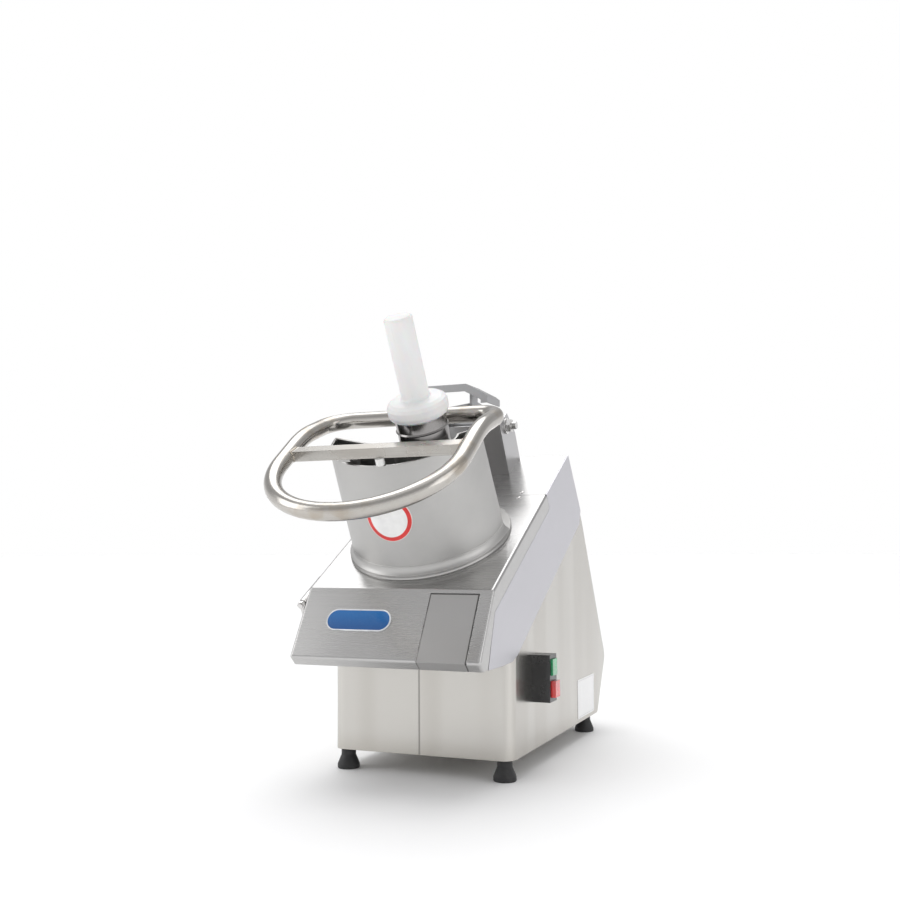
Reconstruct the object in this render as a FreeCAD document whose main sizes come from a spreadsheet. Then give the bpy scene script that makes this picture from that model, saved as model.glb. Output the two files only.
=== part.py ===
import FreeCAD, Part
import math
import os
import re
import Sketcher

# Vegetable dicer: a sheet-steel drive box that carries a sloping cutting head.
# Lengths are in millimetres and angles in degrees.
# Base frame: X across, Y towards the back, Z up, Z = 0 on the floor.
# Head frame: X across, Y up the slope, Z square to the lid, origin on the lid's front fold.

V = FreeCAD.Vector

DIMS = {
    # position of the row origin, under the centre of the whole machine
    "shift_x": -9.15, "shift_y": -101.65,
    # general
    "width": 225, "sheet": 1.5, "gap": 0.2, "run_gap": 0.05,
    "slope": 30, "fold_y": -58, "fold_z": 216.5,
    # drive box
    "box_depth": 371, "knee_y": 417, "knee_z": 101, "knee_r": 14, "heel_r": 8,
    "back_y": 300, "back_z": 294, "rim_y": 286.6, "rim_z": 311.6, "front_z": 146,
    "corner_r": 15,
    # feet
    "foot_h": 24, "foot_r": 13.15, "foot_neck_r": 8.6, "foot_x": 98.7,
    "foot_front_y": 13.9, "foot_back_y": 349, "stud_r": 3, "stud_depth": 16,
    "nut_r": 5.5, "nut_h": 5,
    # head side plates, corner points along and square to the slope
    "skirt_tip_s": -58, "skirt_tip_n": -62.5, "skirt_toe_s": -23, "skirt_toe_n": -83,
    "skirt_bend_s": 8.5, "skirt_bend_n": -99.5, "skirt_low_s": 26, "skirt_low_n": -103.5,
    "skirt_heel_s": 331, "skirt_back_s": 346, "skirt_back_n": -91, "head_len": 332,
    "flange_n": -21.5, "flange_s": -10,
    "lid_len": 218, "strip_end_s": 220.5, "strip_low_s": 214.5,
    # deck
    "deck_n": -24, "deck_front_s": -8, "deck_lip": 10,
    # cutting chamber
    "axis_s": 112, "bowl_r": 102, "bowl_wall": 2.5, "bowl_top_n": -4, "bowl_low_n": -48,
    "bowl_floor": 3, "bowl_flange_r": 108, "mouth_x": 66, "mouth_top_n": -25,
    "chute_x": 70, "chute_front_s": -20, "chute_back_s": 16, "chute_low_n": -92,
    "chute_side_n": -60, "chute_side_s": 30,
    # dicing grid
    "grid_r": 99.2, "grid_band": 6, "grid_top_n": -22, "grid_low_n": -30, "grid_pitch": 14,
    "grid_blade": 1.2, "grid_hub_r": 20, "grid_bore_r": 12,
    # discs and drive shaft
    "shaft_r": 10, "shaft_low_n": -110, "disc_r": 97.5, "disc_top_n": -12, "disc_low_n": -16,
    "blade_x": 21, "blade_len": 73, "blade_w": 16, "blade_t": 1.2, "slot_w": 9,
    "cap_r": 15, "cap_h": 8,
    "ejector_r": 95.5, "ejector_low_n": -42, "ejector_top_n": -39, "vane_top_n": -32, "vane_t": 4,
    # bearings
    "housing_r": 27, "housing_flange_r": 38, "housing_flange": 6, "housing_low_n": -84,
    "bearing_r": 21, "bearing_w": 12, "bearing_step_r": 17, "seal_r": 16,
    # belt drive
    "pulley_top_n": -88, "pulley_low_n": -106, "pulley_r": 70, "pulley_hub_r": 20,
    "motor_pulley_r": 14, "belt_t": 3, "belt_w": 14, "belt_gap": 0.4,
    # motor
    "motor_s": 265, "motor_r": 60, "motor_top_n": -122, "motor_low_n": -250,
    "motor_shaft_r": 7, "motor_foot": 4, "motor_foot_top_n": -116, "motor_foot_s0": 198,
    "motor_foot_s1": 332, "motor_nose_r": 30, "cowl_r": 61, "cowl_low_n": -286, "fan_r": 50,
    "cap_case_r": 18, "cap_case_len": 76,
    # control gear
    "gear_x0": -95, "gear_x1": -25, "gear_y0": 70, "gear_y1": 170, "gear_h": 46,
    # switch box
    "switch_y0": 72, "switch_y1": 98.5, "switch_z0": 80, "switch_z1": 135, "switch_out": 22,
    "button_w": 17, "button_h": 19, "green_z": 120.5, "red_z": 95,
    "button_out": 2.5, "button_stroke": 3,
    # cable gland
    "gland_x": 60, "gland_z": 52, "gland_r": 9, 
    # hinge
    "hinge_x": -116.3, "hinge_n": -13, "hinge_r": 5, "hinge_pin_r": 3, "knuckle_len": 26,
    "hinge_front_s": -14, "hinge_back_s": 262,
    # front lip of the lid
    "lip_s": -75.4, "lip_n": -42.5, "hem_s": -71.6, "hem_n": -55.1, "lid_left": -111,
    "lid_bend": 3.5, "lid_edge_n": -17,
    # latch
    "latch_x0": 42.5, "latch_x1": 98, "latch_top": 6, "latch_gap": 0.8, "latch_pin_r": 3,
    "latch_pin_drop": 41, "latch_pin_depth": 9, "latch_lug": 3,
    # hopper
    "hopper_x": -1.5, "hopper_r": 92.5, "hopper_top_r": 88.5, "hopper_h": 138, "hopper_t": 2.5,
    "bead_r": 96.8, "bead_t": 3.5, "cove": 12,
    "tube_x": 30, "tube_s": 92, "tube_r": 28.5, "tube_bore_r": 26.5, "tube_top_n": 166,
    "tube_ring_n": 153, "nest_r": 36,
    # pestle
    "pestle_r": 26.2, "pestle_low_n": 8, "pestle_top_n": 279, "collar_r": 34, "collar_h": 21,
    "stem_r": 15.6,
    # lever bracket and its pivot
    "bracket_x": 47.5, "bracket_s": 279, "bracket_top_n": 71, "bracket_back_n": 38,
    "pivot_s": 300, "pivot_n": 60, "bolt_r": 5, "bolt_x": 62, "sleeve_r": 10,
    # ring lever
    "ring_x": 107, "ring_reach": 95, "ring_tube_r": 9.5, "ring_wall": 1.5, "ring_s": 10, "ring_n": 152.1,
    "ring_tilt": 6.4, "arm_bend_s": 67, "ring_back_s": 141, "ring_back_n": 144,
    "ring_corner_r": 30, "arm_bend_r": 140,
    "bar_s": 29.3, "bar_w": 13, "bar_top_n": 159.8, "bar_h": 9.6, "bar_drop": 3.2,
    "hub_x": 22, "hub_t": 5, "cover_x": 58, "cover_flat_x": 30, "cover_top_z": 461,
    "cover_y0": 76, "cover_y1": 120, "cover_fall": 12.5, "cover_side": 12, "cover_lip": 9,
    # press plate
    "press_r": 80, "press_low_n": 8, "press_top_n": 13, "press_back_s": 68, "press_x": -12,
    "rod_x": -38, "rod_w": 14, "rod_t": 6, "rod_s": 44,
    "bumper_x": 4, "bumper_r": 5,
    # trims
    "badge_x": -37, "badge_drop": 40, "badge_w": 79, "badge_h": 27, "badge_t": 1.2,
    "mark_r": 27, "mark_t": 0.6, "mark_n": 75,
    "plate_y": 309, "plate_z": 55.5, "plate_l": 83, "plate_h": 52, "plate_t": 0.5,
}

doc = FreeCAD.newDocument("vegetable_dicer")
sheet = doc.addObject("Spreadsheet::Sheet", "Dims")
for row, (alias, value) in enumerate(DIMS.items(), start=1):
    sheet.set("A%d" % row, str(value))
    sheet.setAlias("A%d" % row, alias)
doc.recompute()

D = DIMS
NODES = []


def bind(obj, prop, text):
    """Drive one property with a formula written in sheet names."""
    formula = re.sub(r"[A-Za-z_][A-Za-z_0-9]*", lambda m: "Dims." + m.group(0)
                     if m.group(0) in D else m.group(0),
                     str(text))
    obj.setExpression(prop, formula)


def base_place():
    return FreeCAD.Placement(V(D["shift_x"], D["shift_y"], 0), FreeCAD.Rotation())


def head_place():
    origin = V(D["shift_x"], D["shift_y"] + D["fold_y"], D["fold_z"])
    return FreeCAD.Placement(origin, FreeCAD.Rotation(V(1, 0, 0), D["slope"]))


TURN = {
    "z": FreeCAD.Rotation(),
    "x": FreeCAD.Rotation(V(0, 1, 0), 90),
    "y": FreeCAD.Rotation(V(1, 0, 0), -90),
}


def set_base(obj, x, y, z):
    for letter, text in (("x", x), ("y", y), ("z", z)):
        bind(obj, "Placement.Base." + letter, text)


def box(name, x, y, z):
    """Block between pairs of formulas along X, Y and Z."""
    obj = doc.addObject("Part::Box", name)
    for prop, (low, high) in (("Length", x), ("Width", y), ("Height", z)):
        bind(obj, prop, "(%s) - (%s)" % (high, low))
    set_base(obj, x[0], y[0], z[0])
    return obj


def rod(name, radius, length, x="0", y="0", z="0", axis="z"):
    """Cylinder from a starting point along one axis."""
    obj = doc.addObject("Part::Cylinder", name)
    obj.Placement = FreeCAD.Placement(V(), TURN[axis])
    bind(obj, "Radius", radius)
    bind(obj, "Height", length)
    set_base(obj, x, y, z)
    return obj


def hexagon(name, radius, length, x="0", y="0", z="0", axis="z"):
    """Six-sided prism, such as a nut."""
    obj = doc.addObject("Part::Prism", name)
    obj.Polygon = 6
    obj.Placement = FreeCAD.Placement(V(), TURN[axis])
    bind(obj, "Circumradius", radius)
    bind(obj, "Height", length)
    set_base(obj, x, y, z)
    return obj


def origin_plane(body, role):
    return next(item for item in body.Origin.OriginFeatures if item.Role == role)


def outline(body, role, points):
    """Closed sketch whose corners are held by formulas."""
    sketch = body.newObject("Sketcher::SketchObject", body.Name + "_outline")
    sketch.AttachmentSupport = [(origin_plane(body, role), "")]
    sketch.MapMode = "FlatFace"
    doc.recompute()
    count = len(points)
    spots = [V(float(i), float(i * i % 7), 0) for i in range(count)]
    for i in range(count):
        sketch.addGeometry(Part.LineSegment(spots[i], spots[(i + 1) % count]), False)
    for i in range(count):
        sketch.addConstraint(Sketcher.Constraint("Coincident", i, 2, (i + 1) % count, 1))
    for i, (u, w) in enumerate(points):
        first = sketch.addConstraint(Sketcher.Constraint("DistanceX", -1, 1, i, 1, spots[i].x))
        bind(sketch, "Constraints[%d]" % first, u)
        second = sketch.addConstraint(Sketcher.Constraint("DistanceY", -1, 1, i, 1, spots[i].y))
        bind(sketch, "Constraints[%d]" % second, w)
    doc.recompute()
    return sketch


def slab(name, points, low, high, plane="YZ_Plane"):
    """Outline padded between two formulas along the plane's normal."""
    body = doc.addObject("PartDesign::Body", name)
    pad = body.newObject("PartDesign::Pad", name + "_pad")
    pad.Profile = outline(body, plane, points)
    bind(pad, "Length", "(%s) - (%s)" % (high, low))
    bind(body, "Placement.Base." + ("x" if plane == "YZ_Plane" else "z"), low)
    body.Tip = pad
    return body


def turned(name, points, x="0", y="0", z="0", axis="z"):
    """Profile of (radius, height) corners turned about an axis."""
    body = doc.addObject("PartDesign::Body", name)
    body.Placement = FreeCAD.Placement(V(), TURN[axis])
    turn = body.newObject("PartDesign::Revolution", name + "_turn")
    sketch = outline(body, "XZ_Plane", points)
    turn.Profile = sketch
    turn.ReferenceAxis = (sketch, ["V_Axis"])
    turn.Angle = 360
    body.Tip = turn
    set_base(body, x, y, z)
    return body


def ring(name, inner, outer, low, high, **where):
    return turned(name, [(inner, low), (outer, low), (outer, high), (inner, high)], **where)


def fuse(name, *parts):
    obj = doc.addObject("Part::MultiFuse", name)
    obj.Shapes = list(parts)
    obj.Refine = True
    return obj


def cut(name, base, *tools):
    obj = doc.addObject("Part::Cut", name)
    obj.Base = base
    obj.Tool = tools[0] if len(tools) == 1 else fuse(name + "_tools", *tools)
    return obj


def common(name, *parts):
    obj = doc.addObject("Part::MultiCommon", name)
    obj.Shapes = list(parts)
    return obj


def group(name, *parts):
    obj = doc.addObject("Part::Compound", name)
    obj.Links = list(parts)
    return obj


def finish(name, obj, place):
    """Name a finished sub-part and put it in its frame."""
    if obj.TypeId in ("Part::Box", "Part::Cylinder", "Part::Prism", "PartDesign::Body"):
        obj = group(name + "_part", obj)
    obj.Label = name
    obj.Placement = place
    NODES.append(obj)
    return obj


def edges_where(shape, test):
    """Names of the edges whose two ends both pass a test."""
    return ["Edge%d" % i for i, edge in enumerate(shape.Edges, start=1)
            if all(test(vertex.Point) for vertex in edge.Vertexes)]


def near(a, b):
    return abs(a - b) < 0.01


def rounded(body, name, radius, test):
    """Fillet the edges of a body's last feature that pass a test."""
    doc.recompute()
    last = body.Tip
    fillet = body.newObject("PartDesign::Fillet", name)
    fillet.Base = (last, edges_where(last.Shape, test))
    bind(fillet, "Radius", radius)
    body.Tip = fillet
    doc.recompute()
    return fillet


# ---------------------------------------------------------------- drive box

def shell_outline():
    """Side profile of the drive box, as plain (y, z) corners."""
    return [(0, D["foot_h"]), (D["box_depth"], D["foot_h"]), (D["knee_y"], D["knee_z"]),
            (D["back_y"], D["back_z"]), (D["rim_y"], D["rim_z"]), (0, D["front_z"])]


def inset(points, distance):
    """Corners of an anticlockwise outline moved inwards by one distance."""
    moved = []
    for i, corner in enumerate(points):
        lines = []
        for a, b in ((points[i - 1], corner), (corner, points[(i + 1) % len(points)])):
            length = math.hypot(b[0] - a[0], b[1] - a[1])
            normal = (-(b[1] - a[1]) / length, (b[0] - a[0]) / length)
            lines.append((normal, normal[0] * a[0] + normal[1] * a[1] + distance))
        (n1, c1), (n2, c2) = lines
        det = n1[0] * n2[1] - n1[1] * n2[0]
        moved.append(((c1 * n2[1] - c2 * n1[1]) / det, (n1[0] * c2 - n2[0] * c1) / det))
    return moved


def as_text(points):
    return [("%.4f" % u, "%.4f" % w) for u, w in points]


def shell_block(name, points, half, inside):
    """Drive box block with its upright front corners and rear knee rounded."""
    body = slab(name, as_text(points), "-(%s)" % half, half)
    doc.recompute()
    pad = body.Tip
    front_y = points[0][0]
    corners = body.newObject("PartDesign::Fillet", name + "_corners")
    corners.Base = (pad, upright_edges(pad.Shape, front_y))
    bind(corners, "Radius", "corner_r - %s" % inside)
    body.Tip = corners
    knee_y, knee_z = points[2]
    rounded(body, name + "_knee", "knee_r - %s" % inside, lambda p: near(p.y, knee_y) and near(p.z, knee_z))
    return body


def upright_edges(shape, front):
    """Edges of the front face that run upwards."""
    return ["Edge%d" % i for i, edge in enumerate(shape.Edges, start=1)
            if all(near(v.Y, front) for v in edge.Vertexes)
            and near(edge.Vertexes[0].X, edge.Vertexes[-1].X)]


def make_base_shell():
    outer_points = shell_outline()
    outer = shell_block("shell_outer", outer_points, "width / 2", "0")
    heel_y, heel_z = outer_points[1]
    rounded(outer, "shell_heel", "heel_r", lambda p: near(p.y, heel_y) and near(p.z, heel_z))
    wall = D["sheet"]
    inner_points = inset(outer_points, wall)
    (front_y, low_z), (heel_y, heel_z), knee, back, rim, front = inner_points
    rise = 4 * wall
    back_lean = (rim[0] - back[0]) / (rim[1] - back[1])
    toe_lean = (knee[0] - heel_y) / (knee[1] - heel_z)
    open_top = [(rim[0] + back_lean * rise, rim[1] + rise), (front_y, front[1] + rise)]
    open_low = [(front_y, low_z - rise), (heel_y - toe_lean * rise, heel_z - rise)]
    inner = shell_block("shell_inner", open_low + [knee, back] + open_top, "width / 2 - sheet", "sheet")
    switch_hole = box("switch_hole", ("width / 2 - 5", "width / 2 + 5"), ("switch_y0 + 5", "switch_y1 - 5"),
                      ("switch_z0 + 6", "switch_z1 - 6"))
    gland_hole = rod("gland_hole", "gland_r - 1", "60", "gland_x", "box_depth - 20", "gland_z", "y")
    shell = cut("base_shell_cut", outer, inner, switch_hole, gland_hole)
    finish("base_shell", shell, base_place())


def make_bottom_plate():
    inner = "width / 2 - sheet - gap"
    body = slab("floor_body", [("-(%s)" % inner, "sheet + gap"), (inner, "sheet + gap"),
                               (inner, "box_depth - heel_r - 1"), ("-(%s)" % inner,
                                                                   "box_depth - heel_r - 1")],
                "foot_h", "foot_h + sheet", "XY_Plane")
    doc.recompute()
    pad = body.Tip
    corners = body.newObject("PartDesign::Fillet", "floor_corners")
    corners.Base = (pad, [name for name in edges_where(pad.Shape,
                                                       lambda p: near(p.y, D["sheet"] + D["gap"]))
                          if near(pad.Shape.getElement(name).Vertexes[0].X,
                                  pad.Shape.getElement(name).Vertexes[-1].X)])
    bind(corners, "Radius", "corner_r - sheet")
    body.Tip = corners
    holes = [rod("floor_hole", "stud_r + gap", "4 * sheet", x, y, "foot_h - sheet")
             for x, y in foot_spots()]
    finish("bottom_plate", cut("floor_cut", body, *holes), base_place())


def foot_spots():
    return [(x, y) for x in ("-foot_x", "foot_x") for y in ("foot_front_y", "foot_back_y")]


def make_feet():
    profile = [("0", "0"), ("foot_r - 0.8", "0"), ("foot_r", "1"), ("foot_r", "5"), ("foot_r - 2", "10"),
               ("foot_neck_r", "16"), ("foot_neck_r", "foot_h"), ("stud_r + gap", "foot_h"),
               ("stud_r + gap", "foot_h - stud_depth"), ("0", "foot_h - stud_depth")]
    finish("rubber_feet", group("feet_set", *[turned("foot", profile, x, y) for x, y in foot_spots()]),
           base_place())
    studs = []
    for x, y in foot_spots():
        stem = rod("stud", "stud_r", "stud_depth + nut_h + 3", x, y, "foot_h - stud_depth + gap")
        nut = hexagon("stud_nut", "nut_r", "nut_h", x, y, "foot_h + sheet")
        studs.append(fuse("stud_with_nut", stem, nut))
    finish("foot_studs", group("stud_set", *studs), base_place())


def make_control_gear():
    floor = "foot_h + sheet"
    case = box("gear_case", ("gear_x0", "gear_x1"), ("gear_y0", "gear_y1"), (floor, floor + " + gear_h"))
    finish("control_box", case, base_place())
    can = rod("can", "cap_case_r", "cap_case_len", "gear_x0 + 20", "gear_y1 + 30", floor + " + cap_case_r",
              "x")
    finish("run_capacitor", can, base_place())


def make_switch():
    side = "width / 2"
    shell = box("switch_shell", (side, side + " + switch_out"), ("switch_y0", "switch_y1"),
                ("switch_z0", "switch_z1"))
    middle = "(switch_y0 + switch_y1) / 2"
    wells = []
    for z in ("green_z", "red_z"):
        wells.append(box("well", (side + " + 8", side + " + switch_out + 1"),
                         (middle + " - button_w / 2 - gap * 2", middle + " + button_w / 2 + gap * 2"),
                         (z + " - button_h / 2 - gap * 2", z + " + button_h / 2 + gap * 2")))
    finish("switch_housing", cut("switch_cut", shell, *wells), base_place())
    for name, z in (("green_button", "green_z"), ("red_button", "red_z")):
        extra = " + 3" if name == "red_button" else ""
        key = box(name + "_key", (side + " + 8 + button_stroke + 1",
                                  side + " + switch_out + button_out" + extra),
                  (middle + " - button_w / 2", middle + " + button_w / 2"),
                  (z + " - button_h / 2", z + " + button_h / 2"))
        finish(name, key, base_place())


def make_gland():
    back = "box_depth + (gland_z - foot_h) * (knee_y - box_depth) / (knee_z - foot_h)"
    bore = "gland_r - 5"
    body = turned("gland_body", [(bore, "0"), ("gland_r - 1.5", "0"), ("gland_r - 1.5", "28"),
                                 ("gland_r + 2", "28"),
                                 ("gland_r + 2", "38"), ("gland_r - 2", "46"), (bore, "46")],
                  "gland_x", back + " - 22", "gland_z", "y")
    finish("cable_gland", body, base_place())


def make_data_plate():
    side = "width / 2"
    plate = box("plate", (side, side + " + plate_t"), ("plate_y - plate_l / 2", "plate_y + plate_l / 2"),
                ("plate_z - plate_h / 2", "plate_z + plate_h / 2"))
    finish("data_plate", plate, base_place())


# ---------------------------------------------------------------- head

SKIRT_IN = "width / 2 + gap"
SKIRT_OUT = "width / 2 + gap + sheet"


def skirt_points(right):
    low = [("flange_s", "flange_n"), ("skirt_tip_s", "skirt_tip_n"), ("skirt_toe_s", "skirt_toe_n"),
           ("skirt_bend_s", "skirt_bend_n"), ("skirt_low_s", "skirt_low_n"), ("skirt_heel_s",
                                                                              "skirt_low_n"),
           ("skirt_back_s", "skirt_back_n")]
    if right:
        return low + [("head_len", "0"), ("lid_len + 0.5", "0"), ("strip_end_s", "flange_n + 3"),
                      ("strip_low_s", "flange_n")]
    return low + [("head_len + 3.2", "flange_n")]


def make_head_frame():
    right = slab("skirt_right", skirt_points(True), SKIRT_IN, SKIRT_OUT)
    left = slab("skirt_left", skirt_points(False), "-(%s)" % SKIRT_OUT, "-(%s)" % SKIRT_IN)
    deck = box("deck", ("-(%s)" % SKIRT_IN, SKIRT_IN), ("deck_front_s", "head_len"),
               ("deck_n", "deck_n + sheet"))
    lip = box("deck_front", ("-(%s)" % SKIRT_IN, SKIRT_IN), ("deck_front_s", "deck_front_s + sheet"),
              ("deck_n - deck_lip", "deck_n"))
    rear = slab("rear_wall", [("head_len - 0.2", "-2"), ("skirt_back_s - 0.2", "skirt_back_n"),
                              ("skirt_heel_s", "skirt_low_n + 0.2"), ("skirt_heel_s - 1",
                                                                      "skirt_low_n + 1.3"),
                              ("skirt_back_s - 1.9", "skirt_back_n + 0.6"), ("head_len - 1.7", "-2")],
                "-(%s)" % SKIRT_IN, SKIRT_IN)
    solid = fuse("head_fuse", right, left, deck, lip, rear)
    hole = rod("deck_hole", "bowl_r + gap", "20", "0", "axis_s", "deck_n - 10")
    finish("head_frame", cut("head_cut", solid, hole), head_place())
    front = lip_point(D["latch_pin_drop"] - 2, D["latch_pin_depth"] + 7)[0] + " + 0.8"
    arm = box("catch_arm", ("latch_x0 + 12", "latch_x1 - 12"), (front, "deck_front_s"),
              ("deck_n - deck_lip + 0.5", "deck_n - deck_lip + 3.5"))
    tab = box("catch_tab", ("latch_x0 + 12", "latch_x1 - 12"), (front, front + " + 3"),
              ("deck_n - deck_lip - 6", "deck_n - deck_lip + 3.5"))
    finish("latch_catch", fuse("catch_fuse", arm, tab), head_place())


def make_bowl():
    inner = "bowl_r - bowl_wall"
    deck_top = "deck_n + sheet"
    profile = [("seal_r + gap", "bowl_low_n"), ("bowl_r", "bowl_low_n"), ("bowl_r", deck_top),
               ("bowl_flange_r", deck_top), ("bowl_flange_r", deck_top + " + 2"), ("bowl_r",
                                                                                   deck_top + " + 2"),
               ("bowl_r", "bowl_top_n"), (inner, "bowl_top_n"), (inner, "bowl_low_n + bowl_floor"),
               ("seal_r + gap", "bowl_low_n + bowl_floor")]
    bowl = turned("bowl", profile, "0", "axis_s")
    mouth = box("mouth", ("-mouth_x", "mouth_x"), ("axis_s - bowl_r - 5", "axis_s - 60"),
                ("bowl_low_n + bowl_floor", "mouth_top_n"))
    finish("cutting_chamber", cut("bowl_cut", bowl, mouth), head_place())


def make_chute():
    back = box("chute_back", ("-(width / 2 - sheet - 1)", "width / 2 - sheet - 1"),
               ("chute_back_s", "chute_back_s + sheet"), ("chute_low_n", "bowl_low_n - 1"))
    sides = []
    for low, high in (("chute_x", "chute_x + sheet"), ("-chute_x - sheet", "-chute_x")):
        sides.append(box("chute_side", (low, high), ("chute_front_s", "chute_side_s"),
                         ("chute_side_n", "deck_n - deck_lip - gap")))
    finish("discharge_chute", fuse("chute_fuse", back, *sides), head_place())


def make_grid():
    low, high = "grid_low_n", "grid_top_n"
    band = ring("grid_band_ring", "grid_r - grid_band", "grid_r", low, high, y="axis_s")
    hub = ring("grid_hub", "grid_bore_r", "grid_hub_r", low, high, y="axis_s")
    half = "grid_blade / 2"
    bars = []
    for i in range(1, 7):
        s = "axis_s - grid_pitch * %d" % i
        bars.append(box("grid_cross", ("-grid_r", "grid_r"),
                        ("%s - %s" % (s, half), "%s + %s" % (s, half)), (low, high)))
    for i in range(-6, 7):
        x = "grid_pitch * %d" % i
        bars.append(box("grid_long", ("%s - %s" % (x, half), "%s + %s" % (x, half)),
                        ("axis_s - grid_r", "axis_s"), (low, high)))
    bars.append(box("grid_spoke", ("-grid_r", "grid_r"), ("axis_s - 3", "axis_s + 3"), (low, high)))
    bars.append(box("grid_stay", ("-3", "3"), ("axis_s", "axis_s + grid_r"), (low, high)))
    reach = rod("grid_reach", "grid_r - grid_band / 2", "grid_top_n - grid_low_n", "0", "axis_s", low)
    lattice = common("grid_lattice", fuse("grid_bars", *bars), reach)
    bore = rod("grid_bore", "grid_bore_r", "grid_top_n - grid_low_n", "0", "axis_s", low)
    finish("dicing_grid", cut("grid_cut", fuse("grid_fuse", band, hub, lattice), bore), head_place())


def make_bearings():
    flange_low = "bowl_low_n - housing_flange"
    step_high = "housing_low_n + bearing_w + 4"
    profile = [("bearing_r + 0.05", "housing_low_n"), ("housing_r", "housing_low_n"),
               ("housing_r", flange_low),
               ("housing_flange_r", flange_low), ("housing_flange_r", "bowl_low_n"), ("bearing_r + 0.05",
                                                                                      "bowl_low_n"),
               ("bearing_r + 0.05", step_high + " + 3"), ("bearing_step_r", step_high + " + 3"),
               ("bearing_step_r", step_high), ("bearing_r + 0.05", step_high)]
    finish("bearing_housing", turned("housing", profile, "0", "axis_s"), head_place())
    races = []
    for name, low in (("upper_race", "bowl_low_n - 1 - bearing_w"), ("lower_race", "housing_low_n + 2")):
        top = low + " + bearing_w"
        groove = [("shaft_r", low), ("bearing_r", low), ("bearing_r", top), ("bearing_r - 4", top),
                  ("bearing_r - 4", top + " - 1"), ("shaft_r + 3.5", top + " - 1"), ("shaft_r + 3.5", top),
                  ("shaft_r", top)]
        races.append(turned(name, groove, "0", "axis_s"))
    finish("bearings", group("race_set", *races), head_place())
    finish("shaft_seal", ring("seal", "shaft_r + 0.02", "seal_r", "bowl_low_n + 0.2",
                              "bowl_low_n + bowl_floor - 0.2", y="axis_s"),
           head_place())


def make_drive():
    radius = "shaft_r - run_gap"
    shaft = rod("spindle", radius, "disc_top_n - 1 - shaft_low_n", "0", "axis_s", "shaft_low_n")
    finish("drive_shaft", shaft, head_place())
    hub = "shaft_r + 0.02"
    web_low, web_high = "pulley_low_n + 7", "pulley_top_n - 7"
    wheel = turned("wheel", [(hub, "pulley_low_n"), ("pulley_hub_r", "pulley_low_n"),
                             ("pulley_hub_r", web_low),
                             ("pulley_r - 8", web_low), ("pulley_r - 8", "pulley_low_n"), ("pulley_r",
                                                                                           "pulley_low_n"),
                             ("pulley_r", "pulley_top_n"), ("pulley_r - 8",
                                                            "pulley_top_n"), ("pulley_r - 8", web_high),
                             ("pulley_hub_r", web_high), ("pulley_hub_r", "pulley_top_n"), (hub,
                                                                                            "pulley_top_n")],
                   "0", "axis_s")
    holes = []
    for i in range(5):
        angle = math.radians(72 * i)
        holes.append(rod("lightening", "12", "30", "%.4f * 41" % math.cos(angle),
                         "axis_s + %.4f * 41" % math.sin(angle),
                         "pulley_low_n - 3"))
    finish("driven_pulley", cut("wheel_cut", wheel, *holes), head_place())
    ejector = turned("ejector", [(hub, "ejector_low_n"), ("ejector_r", "ejector_low_n"),
                                 ("ejector_r", "ejector_top_n"),
                                 ("shaft_r + 8", "ejector_top_n"), ("shaft_r + 8", "vane_top_n"), (hub,
                                                                                                   "vane_top_n")],
                     "0", "axis_s")
    vanes = [box("vane", ("-ejector_r + 3", "-shaft_r - 6"),
                 ("axis_s - vane_t / 2", "axis_s + vane_t / 2"), ("ejector_top_n - 0.5", "vane_top_n")),
             box("vane", ("shaft_r + 6", "ejector_r - 3"), ("axis_s - vane_t / 2", "axis_s + vane_t / 2"),
                 ("ejector_top_n - 0.5", "vane_top_n")),
             box("vane", ("-vane_t / 2", "vane_t / 2"), ("axis_s - ejector_r + 3", "axis_s - shaft_r - 6"),
                 ("ejector_top_n - 0.5", "vane_top_n")),
             box("vane", ("-vane_t / 2", "vane_t / 2"), ("axis_s + shaft_r + 6", "axis_s + ejector_r - 3"),
                 ("ejector_top_n - 0.5", "vane_top_n"))]
    finish("ejector_disc", fuse("ejector_fuse", ejector, *vanes), head_place())
    plate = turned("disc", [(hub, "disc_low_n - 3"), ("shaft_r + 10", "disc_low_n - 3"),
                            ("shaft_r + 10", "disc_low_n"),
                            ("disc_r", "disc_low_n"), ("disc_r", "disc_top_n"), (hub,
                                                                                 "disc_top_n")], "0",
                                                                                 "axis_s")
    slot = box("disc_slot", ("blade_x", "blade_x + blade_len"), ("axis_s - slot_w", "axis_s"),
               ("disc_low_n - 1", "disc_top_n + 1"))
    finish("slicing_disc", cut("disc_cut", plate, slot), head_place())
    blade = box("knife", ("blade_x", "blade_x + blade_len - 1"), ("axis_s - 2", "axis_s - 2 + blade_w"),
                ("disc_top_n", "disc_top_n + blade_t"))
    finish("disc_blade", blade, head_place())
    cap = turned("cap", [("0", "disc_top_n"), ("cap_r", "disc_top_n"), ("cap_r", "disc_top_n + cap_h - 3"),
                         ("cap_r - 3", "disc_top_n + cap_h"), ("0", "disc_top_n + cap_h")], "0", "axis_s")
    finish("disc_cap", cap, head_place())


def belt_outline(reach_big, reach_small):
    """Four tangent corners of an open belt round two wheels."""
    run = D["motor_s"] - D["axis_s"]
    lean = (reach_big - reach_small) / run
    side = math.sqrt(1 - lean * lean)
    big = (D["axis_s"] + reach_big * lean, reach_big * side)
    small = (D["motor_s"] + reach_small * lean, reach_small * side)
    return [("%.4f" % -big[1], "%.4f" % big[0]), ("%.4f" % -small[1], "%.4f" % small[0]),
            ("%.4f" % small[1], "%.4f" % small[0]), ("%.4f" % big[1], "%.4f" % big[0])]


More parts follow.
